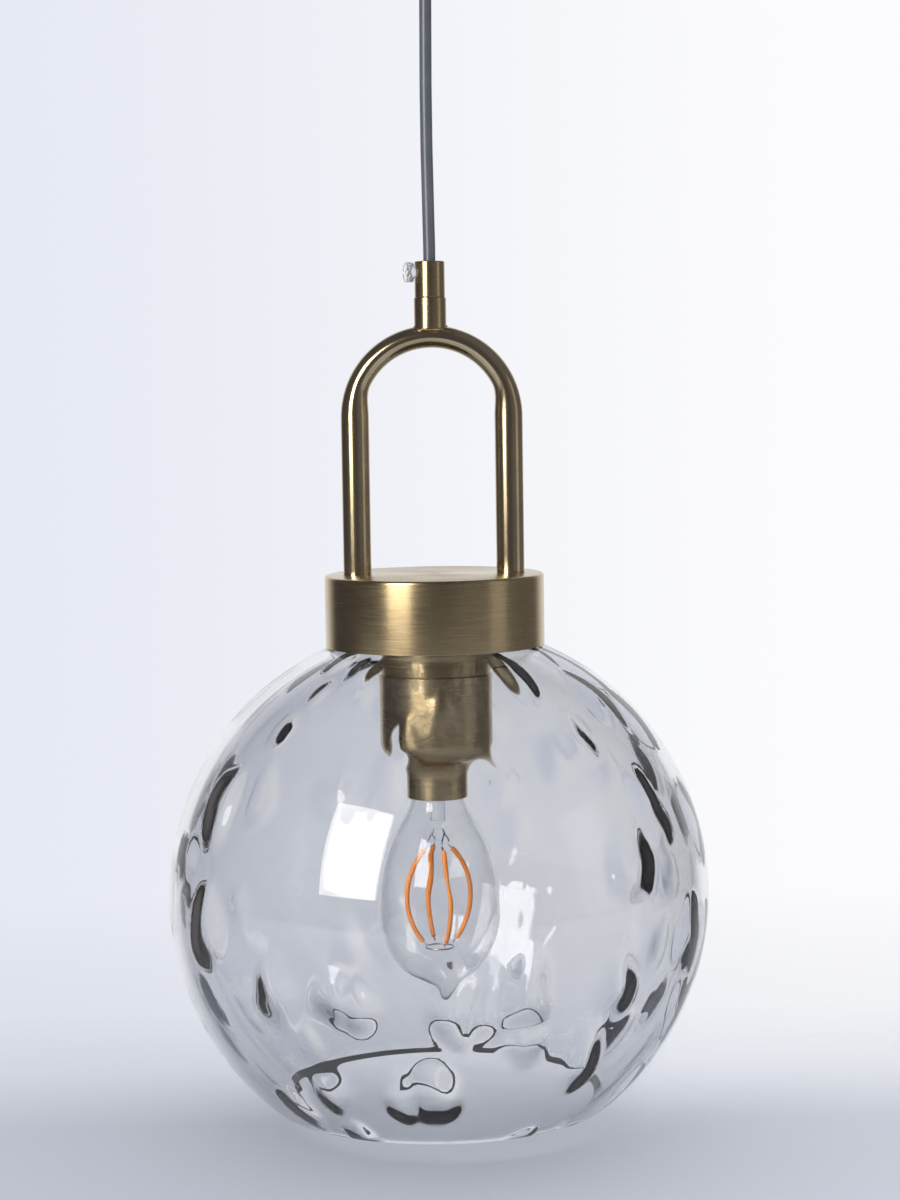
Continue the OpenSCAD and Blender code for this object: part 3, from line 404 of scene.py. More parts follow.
finishes = {
    "brushed_brass": turned_brass(
        "brushed_brass",
        (0.44, 0.335, 0.18, 1),
        (0.6, 0.465, 0.26, 1),
        0.22,
        strength=0.08,
        dust=0.05,
    ),
    "satin_brass_tube": smooth_brass(
        "satin_brass_tube", (0.5, 0.4, 0.24, 1), (0.6, 0.485, 0.3, 1), 0.14
    ),
    "raw_brass": plain_metal("raw_brass", (0.55, 0.4, 0.18, 1), (0.74, 0.57, 0.3, 1), 0.3),
    "zinc_steel": plain_metal("zinc_steel", (0.5, 0.51, 0.53, 1), (0.68, 0.69, 0.71, 1), 0.32),
    "clear_nylon": moulded(
        "clear_nylon",
        (0.86, 0.88, 0.9, 1),
        (0.93, 0.95, 0.97, 1),
        0.12,
        scale=500.0,
        dust=0.02,
        Transmission_Weight=0.85,
        IOR=1.5,
    ),
    "ivory_plastic": moulded("ivory_plastic", (0.72, 0.7, 0.62, 1), (0.8, 0.78, 0.71, 1), 0.45),
    "cord_pvc": moulded(
        "cord_pvc",
        (0.071, 0.081, 0.1, 1),
        (0.086, 0.098, 0.12, 1),
        0.4,
        scale=2600.0,
        dust=0.0,
        Coat_Weight=0.5,
        Coat_Roughness=0.2,
    ),
    "brown_pvc": moulded("brown_pvc", (0.1, 0.045, 0.02, 1), (0.16, 0.075, 0.035, 1), 0.4),
    "blue_pvc": moulded("blue_pvc", (0.02, 0.07, 0.3, 1), (0.035, 0.11, 0.42, 1), 0.4),
    "green_pvc": moulded("green_pvc", (0.08, 0.26, 0.04, 1), (0.14, 0.36, 0.07, 1), 0.4),
    "silicone": moulded(
        "silicone",
        (0.6, 0.62, 0.64, 1),
        (0.74, 0.76, 0.78, 1),
        0.5,
        Subsurface_Weight=0.2,
        Subsurface_Scale=0.002,
    ),
    # The globe's glass carries painted shade on the steep slopes of its inner wall; the bulb's glass
    # does not.
    "globe_glass": clear_glass("globe_glass", (0.86, 0.866, 0.882, 1), (0.82, 0.828, 0.846, 1)),
    "bulb_glass": clear_glass(
        "bulb_glass", (0.985, 0.988, 0.99, 1), (0.975, 0.98, 0.985, 1), paint_dark_streaks=False
    ),
    "porcelain": moulded(
        "porcelain", (0.74, 0.73, 0.69, 1), (0.82, 0.81, 0.77, 1), 0.18, scale=300.0, strength=0.08
    ),
    "solder": plain_metal("solder", (0.4, 0.4, 0.38, 1), (0.62, 0.62, 0.6, 1), 0.45, patch=700.0),
    "black_glass": moulded("black_glass", (0.01, 0.01, 0.012, 1), (0.02, 0.02, 0.024, 1), 0.12),
    "nickel": plain_metal("nickel", (0.5, 0.48, 0.45, 1), (0.66, 0.64, 0.61, 1), 0.24),
    "circuit_board": moulded("circuit_board", (0.02, 0.1, 0.04, 1), (0.04, 0.16, 0.07, 1), 0.35),
    "phosphor": moulded(
        "phosphor", (0.74, 0.2, 0.018, 1), (0.86, 0.3, 0.045, 1), 0.6, scale=3000.0, dust=0.0
    ),
}


# ---- Mesh helpers ----


def rounded(corners, steps=6):
    """A closed outline of (x, z, radius) corners, each corner rounded by its radius."""
    points = []
    count = len(corners)
    for i, (x, z, radius) in enumerate(corners):
        here = Vector((x, z))
        if radius <= 0:
            points.append((x, z))
            continue
        back = Vector(corners[i - 1][:2]) - here
        ahead = Vector(corners[(i + 1) % count][:2]) - here
        half = back.angle(ahead) / 2
        reach = min(radius / math.tan(half), 0.49 * back.length, 0.49 * ahead.length)
        start = here + back.normalized() * reach
        end = here + ahead.normalized() * reach
        for k in range(steps + 1):
            t = k / steps
            spot = start.lerp(here, t).lerp(here.lerp(end, t), t)
            points.append((spot.x, spot.y))
    return points


def shade(mesh, sharp):
    """Smooth shading that stops at edges sharper than an angle."""
    mesh.shade_smooth()
    mesh.set_sharp_from_angle(angle=math.radians(sharp))
    return mesh


def mesh_of(name, verts, faces, sharp=32):
    """A mesh with its doubles merged and its faces turned outwards."""
    mesh = bpy.data.meshes.new(name)
    mesh.from_pydata(verts, [], faces)
    made = bmesh.new()
    made.from_mesh(mesh)
    bmesh.ops.remove_doubles(made, verts=made.verts, dist=1e-7)
    bmesh.ops.recalc_face_normals(made, faces=made.faces)
    made.to_mesh(mesh)
    made.free()
    return shade(mesh, sharp)


def tube_faces(rings, sides, closed=False):
    """Quads between rings of points, and from the last ring to the first when closed."""
    faces = []
    for i in range(rings if closed else rings - 1):
        first, second = i * sides, (i + 1) % rings * sides
        for k in range(sides):
            m = (k + 1) % sides
            faces.append((first + k, first + m, second + m, second + k))
    return faces


def turned_mesh(name, outline, steps=160, sharp=32):
    """An outline of (radius, height) turned once round the lamp's axis."""
    angles = np.arange(steps) * 2 * math.pi / steps
    verts, rings = [], []
    for radius, height in outline:
        if radius < 1e-7:
            rings.append([len(verts)] * steps)
            verts.append((0.0, 0.0, height))
        else:
            rings.append(list(range(len(verts), len(verts) + steps)))
            verts += [(radius * math.cos(a), radius * math.sin(a), height) for a in angles]
    faces = []
    for first, second in zip(rings, rings[1:] + rings[:1]):
        for k in range(steps):
            m = (k + 1) % steps
            corner = list(dict.fromkeys((first[k], first[m], second[m], second[k])))
            if len(corner) > 2:
                faces.append(corner)
    return mesh_of(name, verts, faces, sharp)


def swept_mesh(name, path, shape, sides=32, side=(0, 1, 0)):
    """A closed tube along path; shape(i) gives its two half-widths at point i."""
    path = [Vector(p) for p in path]
    last = len(path) - 1
    verts = []
    for i, point in enumerate(path):
        along = (path[min(i + 1, last)] - path[max(i - 1, 0)]).normalized()
        out = Vector(side).cross(along).normalized()
        deep = along.cross(out)
        wide, tall = shape(i)
        for k in range(sides):
            a = 2 * math.pi * k / sides
            verts.append(point + out * (wide * math.cos(a)) + deep * (tall * math.sin(a)))
    ends = [list(range(sides)), [last * sides + k for k in range(sides)]]
    return mesh_of(name, verts, tube_faces(last + 1, sides) + ends)


def joined(name, meshes, sharp=32):
    """Several meshes as one."""
    made = bmesh.new()
    for mesh in meshes:
        made.from_mesh(mesh)
    mesh = bpy.data.meshes.new(name)
    made.to_mesh(mesh)
    made.free()
    return shade(mesh, sharp)


def place_piece(name, mesh, body, slot, stands_for=()):
    """A finished piece on its body, in its finish."""
    obj = bpy.data.objects.new(name, mesh)
    scene.collection.objects.link(obj)
    if not mesh.materials:
        mesh.materials.append(finishes[slot])
    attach(obj, body)
    if stands_for:
        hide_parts(*stands_for)
    return obj


def show(node, mesh):
    """A finished mesh in a CAD node's stead, on its body and in its slot."""
    name = f"{node}_shown"
    mesh.name = name
    return place_piece(name, mesh, body_of_node[node], slot_of_node[node], (node,))


def baked(obj):
    """The object's evaluated shape as a plain mesh; the object goes."""
    bpy.context.view_layer.update()
    evaluated = obj.evaluated_get(bpy.context.evaluated_depsgraph_get())
    mesh = bpy.data.meshes.new_from_object(evaluated)
    bpy.data.objects.remove(obj)
    return mesh


def dressed(node, bevel=0.15, rounds=0, sharp=32):
    """A CAD node's shape with merged corners, eased edges and smooth shading, standing for it."""
    mesh = nodes[node].data.copy()
    mesh.materials.clear()
    made = bmesh.new()
    made.from_mesh(mesh)
    bmesh.ops.remove_doubles(made, verts=made.verts, dist=2e-6)
    if not rounds:
        bmesh.ops.dissolve_limit(
            made, angle_limit=math.radians(0.8), verts=made.verts, edges=made.edges
        )
    made.to_mesh(mesh)
    made.free()
    obj = bpy.data.objects.new(f"{node}_blank", mesh)
    scene.collection.objects.link(obj)
    if bevel:
        ease = obj.modifiers.new("eased edges", "BEVEL")
        ease.width = bevel * MM
        ease.segments = 2
        ease.limit_method = "ANGLE"
        ease.angle_limit = math.radians(38)
        ease.use_clamp_overlap = True
    if rounds:
        smooth = obj.modifiers.new("rounder", "SUBSURF")
        smooth.levels = rounds
        smooth.render_levels = rounds
    mesh = shade(baked(obj), sharp)
    mesh.materials.clear()
    return show(node, mesh)


# ---- Cord ----

cord_r = 0.0028
# The taut cord's route, from the pendant grip's mouth up to the canopy grip's mouth: x and height
cord_line = (
    (0, -0.173), (0, -0.166), (-0.0001, -0.158), (-0.0002, -0.149), (-0.0003, -0.14),
    (-0.0004, -0.131), (-0.0005, -0.122), (-0.0005, -0.113), (-0.0005, -0.104), (-0.0005, -0.095),
    (-0.0004, -0.086), (-0.0003, -0.077), (-0.0002, -0.068), (-0.0001, -0.059), (0, -0.05),
    (0, -0.043),
)
cord_route = [(x, 0, z) for x, z in cord_line]


def make_cord():
    """The round cord along its route."""
    line = bpy.data.curves.new("power_cord_shown", "CURVE")
    line.dimensions = "3D"
    line.bevel_depth = cord_r
    line.bevel_resolution = 8
    line.resolution_u = 6
    line.use_fill_caps = True
    spline = line.splines.new("BEZIER")
    spline.bezier_points.add(len(cord_route) - 1)
    for knot, spot in zip(spline.bezier_points, cord_route):
        knot.co = spot
        knot.handle_left_type = knot.handle_right_type = "AUTO"
    line.materials.append(finishes["cord_pvc"])
    cord = bpy.data.objects.new("power_cord_shown", line)
    scene.collection.objects.link(cord)
    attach(cord, "cord")
    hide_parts("power_cord")
    return cord


cord = make_cord()


# ---- Ceiling fitting and cord grips ----

bore_r = cord_r + 0.0002
m10_r = 0.0049
grip_r = grip_high.x
flare_r = 0.0052
flare_h = 0.002
canopy_r = canopy_high.x
canopy_wall = 0.001
boss_r = coupler_high.x
boss_bore_r = 0.0036
boss_thread_h = 0.0092


def grip_outline(mouth_z, seat_z, thread_z):
    """A cord grip from its flared mouth to the end of its hollow thread; it works either way up."""
    away = math.copysign(1, seat_z - mouth_z)
    return rounded(
        [
            (bore_r, thread_z, 0),
            (m10_r, thread_z, 0.0003),
            (m10_r, seat_z, 0),
            (grip_r, seat_z, 0.0004),
            (grip_r, mouth_z, 0.0006),
            (flare_r, mouth_z, 0.0003),
            (bore_r, mouth_z + away * flare_h, 0.0006),
        ]
    )


def make_fittings():
    """The canopy, both cord grips and the coupler brazed on the arch."""
    canopy = rounded(
        [
            (m10_r, canopy_low.z, 0),
            (canopy_r, canopy_low.z, 0.004),
            (canopy_r, canopy_high.z, 0.0003),
            (canopy_r - canopy_wall, canopy_high.z, 0.0003),
            (canopy_r - canopy_wall, canopy_low.z + canopy_wall, 0.003),
            (m10_r, canopy_low.z + canopy_wall, 0),
        ],
        steps=8,
    )
    show("canopy", turned_mesh("canopy", canopy, 192))
    upper = grip_outline(canopy_grip_low.z, canopy_low.z, canopy_grip_high.z)
    upper_grip = show("canopy_grip", turned_mesh("canopy_grip", upper, 96))
    lower = grip_outline(grip_high.z, seam_z, grip_low.z)
    show("cord_grip", turned_mesh("cord_grip", lower, 96))
    boss = rounded(
        [
            (boss_bore_r, coupler_low.z, 0),
            (boss_r, coupler_low.z, 0.0003),
            (boss_r, seam_z, 0.0005),
            (m10_r, seam_z, 0.0002),
            (m10_r, seam_z - boss_thread_h, 0),
            (boss_bore_r, seam_z - boss_thread_h, 0),
        ]
    )
    show("handle_coupler", joined("handle_coupler", [turned_mesh("boss", boss, 96), braze_bead()]))
    return upper_grip


def braze_bead(steps=180, sides=10):
    """The lumpy fillet of braze where the coupler meets the arch."""
    verts = []
    ring_r = boss_r - 0.0001
    for i in range(steps):
        a = 2 * math.pi * i / steps
        x, y = ring_r * math.cos(a), ring_r * math.sin(a)
        across = leg_x + math.sqrt(max(tube_r**2 - y * y, 0))
        seat = max(arch_centre_z + math.sqrt(across**2 - x * x), coupler_low.z)
        lump = 0.00058 + 0.00014 * math.sin(5 * a + 0.6) + 0.0001 * math.sin(11 * a + 2.1)
        lump += 0.00006 * math.sin(23 * a)
        out = Vector((math.cos(a), math.sin(a), 0))
        for k in range(sides):
            b = 2 * math.pi * k / sides
            spot = Vector((x, y, seat)) + out * (lump * math.cos(b))
            verts.append(spot + Vector((0, 0, 0.9 * lump * math.sin(b))))
    return mesh_of("bead", verts, tube_faces(steps, sides, closed=True), 60)


upper_grip = make_fittings()


# ---- Handle ----

bend_flattening = 0.0013
bend_spread = 0.0003


def make_handle(leg_steps=9, bend_steps=120):
    """The tube bent to an upside-down U, flattened a little where it bends."""
    leg_h = arch_centre_z - collar_top_z
    path = [(-leg_x, collar_top_z + leg_h * i / leg_steps) for i in range(leg_steps)]
    squeeze = [0.0] * leg_steps
    for i in range(bend_steps + 1):
        a = math.pi * (1 - i / bend_steps)
        ease = min(1.0, min(a, math.pi - a) / math.radians(28))
        ease = ease * ease * (3 - 2 * ease)
        reach = leg_x + bend_flattening * ease
        path.append((reach * math.cos(a), arch_centre_z + reach * math.sin(a)))
        squeeze.append(ease)
    path += [(leg_x, arch_centre_z - leg_h * (i + 1) / leg_steps) for i in range(leg_steps)]
    squeeze += [0.0] * leg_steps

    def half_widths(i):
        """The tube's half-widths across and along the bend's axis."""
        return tube_r - bend_flattening * squeeze[i], tube_r + bend_spread * squeeze[i]

    line = [(x, 0, z) for x, z in path]
    show("handle_tube", swept_mesh("handle_tube", line, half_widths, sides=56))


make_handle()


# ---- Collar, clamp and cup ----

collar_r = collar_high.x
collar_wall = 0.0012
clamp_r = clamp_high.x
clamp_wall = 0.001
cup_r = cup_high.x
cup_wall = 0.0007
cup_mouth_r = 0.01335
cup_lip_h = 0.0095
cup_bend_h = 0.017


def double_bend(r0, z0, r1, z1, steps=14):
    """Two equal arcs from (r0, z0) down to (r1, z1), upright at both ends."""
    turn = 2 * math.atan((r0 - r1) / (z0 - z1))
    bend = (z0 - z1) / (2 * math.sin(turn))
    first = [
        (r0 - bend + bend * math.cos(turn * i / steps), z0 - bend * math.sin(turn * i / steps))
        for i in range(steps + 1)
    ]
    second = [
        (r1 + bend - bend * math.cos(turn * left), z1 + bend * math.sin(turn * left))
        for left in (1 - i / steps for i in range(1, steps + 1))
    ]
    return first + second


def make_shells():
    """The collar, the clamp cap inside the globe and the cup below it."""
    inner = collar_r - collar_wall
    collar = rounded(
        [
            (0, collar_top_z, 0),
            (0, collar_top_z - collar_wall, 0),
            (inner, collar_top_z - collar_wall, 0.0008),
            (inner, collar_low.z, 0.0003),
            (collar_r, collar_low.z, 0.0004),
            (collar_r, collar_top_z, 0.0016),
        ],
        steps=8,
    )
    show("collar", turned_mesh("collar", collar, 256))
    clamp = rounded(
        [
            (m10_r, clamp_high.z, 0),
            (m10_r, clamp_high.z - clamp_wall, 0),
            (clamp_r - clamp_wall, clamp_high.z - clamp_wall, 0.0004),
            (clamp_r - clamp_wall, clamp_low.z, 0),
            (clamp_r, clamp_low.z, 0.0003),
            (clamp_r, clamp_high.z, 0.0008),
        ]
    )
    show("clamp_cap", turned_mesh("clamp_cap", clamp))
    bend_top, bend_end = cup_low.z + cup_lip_h + cup_bend_h, cup_low.z + cup_lip_h
    lip_r = cup_mouth_r + cup_wall
    outside = [(cup_r, cup_high.z - 0.0004), *double_bend(cup_r, bend_top, lip_r, bend_end)]
    outside += [(lip_r, cup_low.z + 0.0003), (lip_r - 0.0002, cup_low.z)]
    inside = [(cup_mouth_r + 0.0002, cup_low.z), (cup_mouth_r, cup_low.z + 0.0003)]
    inside += reversed(double_bend(cup_r - cup_wall, bend_top, cup_mouth_r, bend_end))
    inside += [(cup_r - cup_wall, cup_high.z - 0.0002), (cup_r - 0.0003, cup_high.z)]
    show("socket_cup", turned_mesh("socket_cup", outside + inside))


make_shells()


# ---- Glass globe ----

globe_in_r = globe_r - globe_wall
globe_rim_r = 0.0012
# The dimples stop short of the hole (an angle) and of the mouth (an angle), and fade in (a length)
plain_at_hole = 0.2
plain_at_mouth = 0.004
dimple_fade = 0.006


def shaping(name, inputs):
    """An empty Geometry Nodes group for a shape: its tree, its sockets' identifiers, its inputs."""
    tree = bpy.data.node_groups.new(name, "GeometryNodeTree")
    sockets = {}
    for label, kind, value in (("Shape", "Geometry", None), *inputs, ("Finish", "Material", None)):
        socket = tree.interface.new_socket(label, in_out="INPUT", socket_type=f"NodeSocket{kind}")
        if value is not None:
            socket.default_value = value
        sockets[label] = socket.identifier
    tree.interface.new_socket("Shape", in_out="OUTPUT", socket_type="NodeSocketGeometry")
    return tree, sockets, add(tree, "NodeGroupInput").outputs


def push_out(tree, given, arm, amount):
    """Ends a group: each point moves along its arm by an amount, and the shape gets its finish."""
    shift = vectors(tree, "SCALE", vectors(tree, "NORMALIZE", arm), scale=amount)
    moved = add(tree, "GeometryNodeSetPosition", {"Geometry": given["Shape"], "Offset": shift})
    real = add(tree, "GeometryNodeRealizeInstances", {"Geometry": moved.outputs[0]}).outputs[0]
    done = add(tree, "GeometryNodeSetMaterial", {"Geometry": real, "Material": given["Finish"]})
    add(tree, "NodeGroupOutput", {0: done.outputs[0]})


def shaped(name, mesh, group, finish, sharp, **values):
    """A mesh put through a Geometry Nodes group with its own values and finish."""
    tree, sockets = group
    blank = bpy.data.objects.new(f"{name}_blank", mesh)
    scene.collection.objects.link(blank)
    shaper = blank.modifiers.new(tree.name, "NODES")
    shaper.node_group = tree
    for label, value in values.items():
        shaper[sockets[label.replace("_", " ")]] = value
    shaper[sockets["Finish"]] = finishes[finish]
    return shade(baked(blank), sharp)


def make_dimple_press():
    """Geometry Nodes that press separate oval dimples into the globe's inner wall."""
    tree, sockets, given = shaping(
        "dimple press",
        [
            ("Centre", "Vector", (0, 0, 0)),
            ("Radius", "Float", 0.125),
            ("Cell Width", "Float", 0.03),
            ("Cell Height", "Float", 0.044),
            ("Seed", "Float", 0.0),
            ("Depth", "Float", 0.003),
            ("Offset", "Float", -0.0008),
        ],
    )
    here = add(tree, "GeometryNodeInputPosition").outputs[0]
    arm = vectors(tree, "SUBTRACT", here, given["Centre"])
    xyz = split(tree, arm)
    flat = together(tree, xyz[0], xyz[1])
    columns = maths(tree, "DIVIDE", given["Radius"], given["Cell Width"])
    rows = maths(tree, "DIVIDE", given["Radius"], given["Cell Height"])
    tilt = maths(tree, "ARCTAN2", vectors(tree, "LENGTH", flat), xyz[2])
    row = together(tree, z=maths(tree, "MULTIPLY", tilt, rows))
    column = vectors(tree, "SCALE", vectors(tree, "NORMALIZE", flat), scale=columns)
    cell = vectors(tree, "ADD", column, row)
    wobble = add(tree, "ShaderNodeTexNoise", {"Vector": cell, "Scale": 1.3, "Detail": 1.0})
    bent = vectors(tree, "MULTIPLY_ADD", wobble.outputs["Color"], (0.5, 0.5, 0.5), cell)
    moved = vectors(tree, "ADD", bent, together(tree, given["Seed"], given["Seed"]))
    spots = add(
        tree,
        "ShaderNodeTexVoronoi",
        {"Vector": moved, "Scale": 1.0, "Randomness": 0.8},
        voronoi_dimensions="3D",
    )
    bowl = ranged(tree, spots.outputs["Distance"], 0.46, 0.06, smooth=True)
    push = maths(tree, "MULTIPLY_ADD", bowl, given["Depth"], given["Offset"])
    inside = add(
        tree, "GeometryNodeInputNamedAttribute", {"Name": "inner_wall"}, data_type="FLOAT"
    ).outputs[0]
    push_out(tree, given, arm, maths(tree, "MULTIPLY", push, inside))
    return tree, sockets


def globe_outline(outer_steps=92, inner_steps=186):
    """The globe's wall in section, from the hole's edge down the outside and back up the inside."""

    def arc(radius, steps):
        """Points down the wall at one radius, from the hole to the mouth."""
        top = math.asin(globe_hole_r / radius)
        bottom = math.acos(-globe_open_drop / radius)
        angles = [top + (bottom - top) * i / steps for i in range(steps + 1)]
        return [(radius * math.sin(a), globe_z + radius * math.cos(a), 0) for a in angles]

    corners = arc(globe_r, outer_steps) + arc(globe_in_r, inner_steps)[::-1]
    for i in (0, outer_steps, outer_steps + 1, len(corners) - 1):
        corners[i] = (*corners[i][:2], globe_rim_r)
    return rounded(corners, steps=4)


def make_globe():
    """The hand-blown globe: smooth outside, dimpled inside."""
    mesh = turned_mesh("glass_globe", globe_outline(), 320, sharp=60)
    co = np.empty(len(mesh.vertices) * 3)
    mesh.vertices.foreach_get("co", co)
    arm = co.reshape(-1, 3) - np.array([0, 0, globe_z])
    reach = np.linalg.norm(arm, axis=1)
    tilt = np.arccos(np.clip(arm[:, 2] / reach, -1, 1))
    hole = math.asin(globe_hole_r / globe_in_r) + plain_at_hole
    mouth = math.acos(-globe_open_drop / globe_in_r) - plain_at_mouth
    fade = np.clip(np.minimum(tilt - hole, mouth - tilt) * globe_in_r / dimple_fade, 0, 1)
    on_inside = np.abs(reach - globe_in_r) < 0.0002
    inner = np.where(on_inside, fade * fade * (3 - 2 * fade), 0.0)
    mark = mesh.attributes.new("inner_wall", "FLOAT", "POINT")
    mark.data.foreach_set("value", inner.astype(np.float32))
    pressed = shaped(
        "glass_globe",
        mesh,
        make_dimple_press(),
        "globe_glass",
        60,
        Centre=(0.0, 0.0, globe_z),
        Radius=globe_r,
        Cell_Width=0.036,
        Cell_Height=0.05,
        Seed=33.9,
        Depth=0.0035,
        Offset=-0.001,
    )
    pressed.attributes.remove(pressed.attributes["inner_wall"])
    show("glass_globe", pressed)


make_globe()


# ---- Threads ----


def make_thread_cutter():
    """Geometry Nodes that roll a right-handed thread into a tube about an upright axis."""
    tree, sockets, given = shaping(
        "thread cutter",
        [
            ("Pitch", "Float", 0.001),
            ("Depth", "Float", 0.0005),
            ("Low", "Float", 0.0),
            ("High", "Float", 0.0),
            ("Run Out", "Float", 0.001),
        ],
    )
    xyz = split(tree, add(tree, "GeometryNodeInputPosition").outputs[0])
    around = maths(tree, "ARCTAN2", xyz[1], xyz[0])
    rise = maths(tree, "MULTIPLY", maths(tree, "DIVIDE", xyz[2], given["Pitch"]), 2 * math.pi)
    wave = maths(tree, "COSINE", maths(tree, "SUBTRACT", around, rise))
    groove = maths(tree, "MULTIPLY_ADD", wave, 0.5, -0.5)
    above = maths(tree, "SUBTRACT", xyz[2], given["Low"])
    below = maths(tree, "SUBTRACT", given["High"], xyz[2])
    low_end = maths(tree, "DIVIDE", above, given["Run Out"], clamp=True)
    high_end = maths(tree, "DIVIDE", below, given["Run Out"], clamp=True)
    within = maths(tree, "MULTIPLY", low_end, high_end)
    cut = maths(tree, "MULTIPLY", maths(tree, "MULTIPLY", groove, given["Depth"]), within)
    push_out(tree, given, together(tree, xyz[0], xyz[1]), cut)
    return tree, sockets


thread_cutter = make_thread_cutter()


def threaded(name, outline, finish, low, high, pitch, depth, run_out, steps=96):
    """A turned outline with a thread rolled between two heights."""
    blank = turned_mesh(name, outline, steps, sharp=50)
    sizes = {"Pitch": pitch, "Depth": depth, "Low": low, "High": high, "Run_Out": run_out}
    return shaped(name, blank, thread_cutter, finish, 50, **sizes)


def upright(radius, low, high, step):
    """Points up a wall, close enough together to take a thread."""
    count = max(2, round(abs(high - low) / step))
    return [(radius, low + (high - low) * i / count) for i in range(count + 1)]


bulb_pitch = 0.003629
bulb_thread_depth = 0.001
cap_wall = 0.0003
shell_wall = 0.0004


def make_threaded_pieces():
    """The bulb's screw cap, the shell it turns in, and the hollow M10 and M4 rods."""
    cap_r = cap_high.x
    cone_z = cap_high.z - 0.002
    run_out = 0.0015

    def drawn_in(points):
        """Takes the wall in to the thread's root at its upper end, so that the cap starts easily."""
        return [
            (r - bulb_thread_depth * min(1, max(0, (z - cone_z) / run_out + 1)), z)
            for r, z in points
        ]

    cap = drawn_in(upright(cap_r, cap_low.z, cone_z, 0.0003))
    cap += [(0.0105, cap_high.z - 0.0003), (0.008, cap_high.z), (0.005, cap_high.z)]
    cap += [(0.005, cap_high.z - cap_wall), (0.0077, cap_high.z - cap_wall)]
    cap += drawn_in(upright(cap_r - cap_wall, cone_z - cap_wall, cap_low.z, 0.0003))
    thread = (cap_low.z + 0.003, cone_z, bulb_pitch, bulb_thread_depth, run_out)
    show("bulb_cap", threaded("bulb_cap", cap, "nickel", *thread))

    shell_r, top_z = shell_high.x, shell_high.z
    shell = upright(shell_r, shell_low.z, top_z, 0.0003)
    shell += [(0.01, top_z), (0.01, top_z - shell_wall)]
    shell += upright(shell_r - shell_wall, top_z - shell_wall, shell_low.z, 0.0003)
    thread = (shell_low.z, top_z - 0.002, bulb_pitch, bulb_thread_depth, 0.0012)
    show("holder_shell", threaded("holder_shell", shell, "nickel", *thread))

    low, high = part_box("hollow_nipple")
    rod = upright(m10_r, low.z, high.z, 0.00014) + upright(0.0035, high.z, low.z, 0.004)
    thread = (low.z, high.z, 0.001, 0.0005, 0.0008)
    show("hollow_nipple", threaded("hollow_nipple", rod, "zinc_steel", *thread, steps=48))

    for node, bored, pitch, step, steps in (
        ("leg_studs", True, 0.001, 0.00016, 40),
        ("canopy_studs", False, 0.0007, 0.00012, 24),
    ):
        low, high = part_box(node)
        radius = (high.y - low.y) / 2
        rod = upright(radius, low.z, high.z, step)
        if bored:
            rod += upright(radius - 0.0015, high.z, low.z, 0.006)
        else:
            rod += [(0, high.z), (0, low.z)]
        thread = (low.z, high.z, pitch, 0.55 * pitch, 0.0006)
        mesh = threaded(node, rod, slot_of_node[node], *thread, steps=steps)
        pair = [mesh.copy(), mesh.copy()]
        for copy, side in zip(pair, (-1, 1)):
            copy.transform(Matrix.Translation((side * (high.x - radius), 0, 0)))
        show(node, joined(node, pair, sharp=50))


make_threaded_pieces()


# ---- Bulb ----


def cubic(p0, p1, p2, p3, steps=40):
    """Points along a cubic curve with two end points and two handles."""
    points = []
    for i in range(steps + 1):
        t = i / steps
        s = 1 - t
        weights = (s * s * s, 3 * s * s * t, 3 * s * t * t, t * t * t)
        axes = zip(p0, p1, p2, p3)
        points.append(tuple(sum(w * v for w, v in zip(weights, axis)) for axis in axes))
    return points


bulb_wall = 0.0008
bulb_r = bulb_high.x
neck_r = 0.0126
neck_z = cup_low.z
bulb_wide_z = cup_low.z - 0.615 * (cup_low.z - bulb_low.z)
filament_top_z = cup_low.z - 0.023
filament_end_z = filament_top_z - 0.046
filament_r = 0.0011


def bulb_outline(inset):
    """The bulb's wall in section, from its neck to its tip, moved in by an inset."""
    wide = bulb_r - inset
    upper = cubic(
        (neck_r - inset, neck_z),
        (neck_r - inset, neck_z - 0.009),
        (wide, neck_z - 0.018),
        (wide, bulb_wide_z),
    )
    lower = cubic(
        (wide, bulb_wide_z),
        (wide, bulb_wide_z - 0.019),
        (0.6 * bulb_r, bulb_low.z + inset),
        (0, bulb_low.z + inset),
    )
    return [(neck_r - inset, bulb_high.z), *upper, *lower[1:]]


def filament_path(number, steps=40):
    """The bowed line of one filament, and the outward direction of its plane."""
    top_r, end_r, bow = 0.005, 0.0065, 0.010
    turn = math.radians(20 + 90 * (number - 1))
    out = Vector((math.cos(turn), math.sin(turn), 0))
    height = filament_top_z - filament_end_z
    chord = height / math.cos(math.atan((end_r - top_r) / height))
    bow_r = (chord * chord / 4 + bow * bow) / (2 * bow)
    half_turn = math.asin(chord / 2 / bow_r)
    middle = out * ((top_r + end_r) / 2) + Vector((0, 0, (filament_top_z + filament_end_z) / 2))
    along = (out * (top_r - end_r) + Vector((0, 0, height))).normalized()
    away = (out - along * out.dot(along)).normalized()
    points = []
    for i in range(steps + 1):
        a = half_turn * (1 - 2 * i / steps)
        off = away * (bow - bow_r + bow_r * math.cos(a)) + along * (bow_r * math.sin(a))
        points.append(middle + off)
    return points, out


def make_bulb():
    """The bulb's glass, and its four filaments with bare metal tips."""
    profile = bulb_outline(0) + bulb_outline(bulb_wall)[::-1]
    show("bulb_glass", turned_mesh("bulb_glass", profile, 160, sharp=50))
    for number in (1, 2, 3, 4):
        node = f"filament_{number}"
        path, out = filament_path(number)
        side = Vector((0, 0, 1)).cross(out)
        show(node, swept_mesh(node, path[2:-2], lambda i: (filament_r, filament_r), 18, side))
        ends = [
            swept_mesh("tip", tip, lambda i: (0.00022, 0.00045), 12, side)
            for tip in (path[:4], path[-4:])
        ]
        place_piece(f"{node}_tips", joined("filament_tips", ends), "bulb", "nickel")


make_bulb()


# ---- Everything else keeps its CAD shape, with eased edges ----

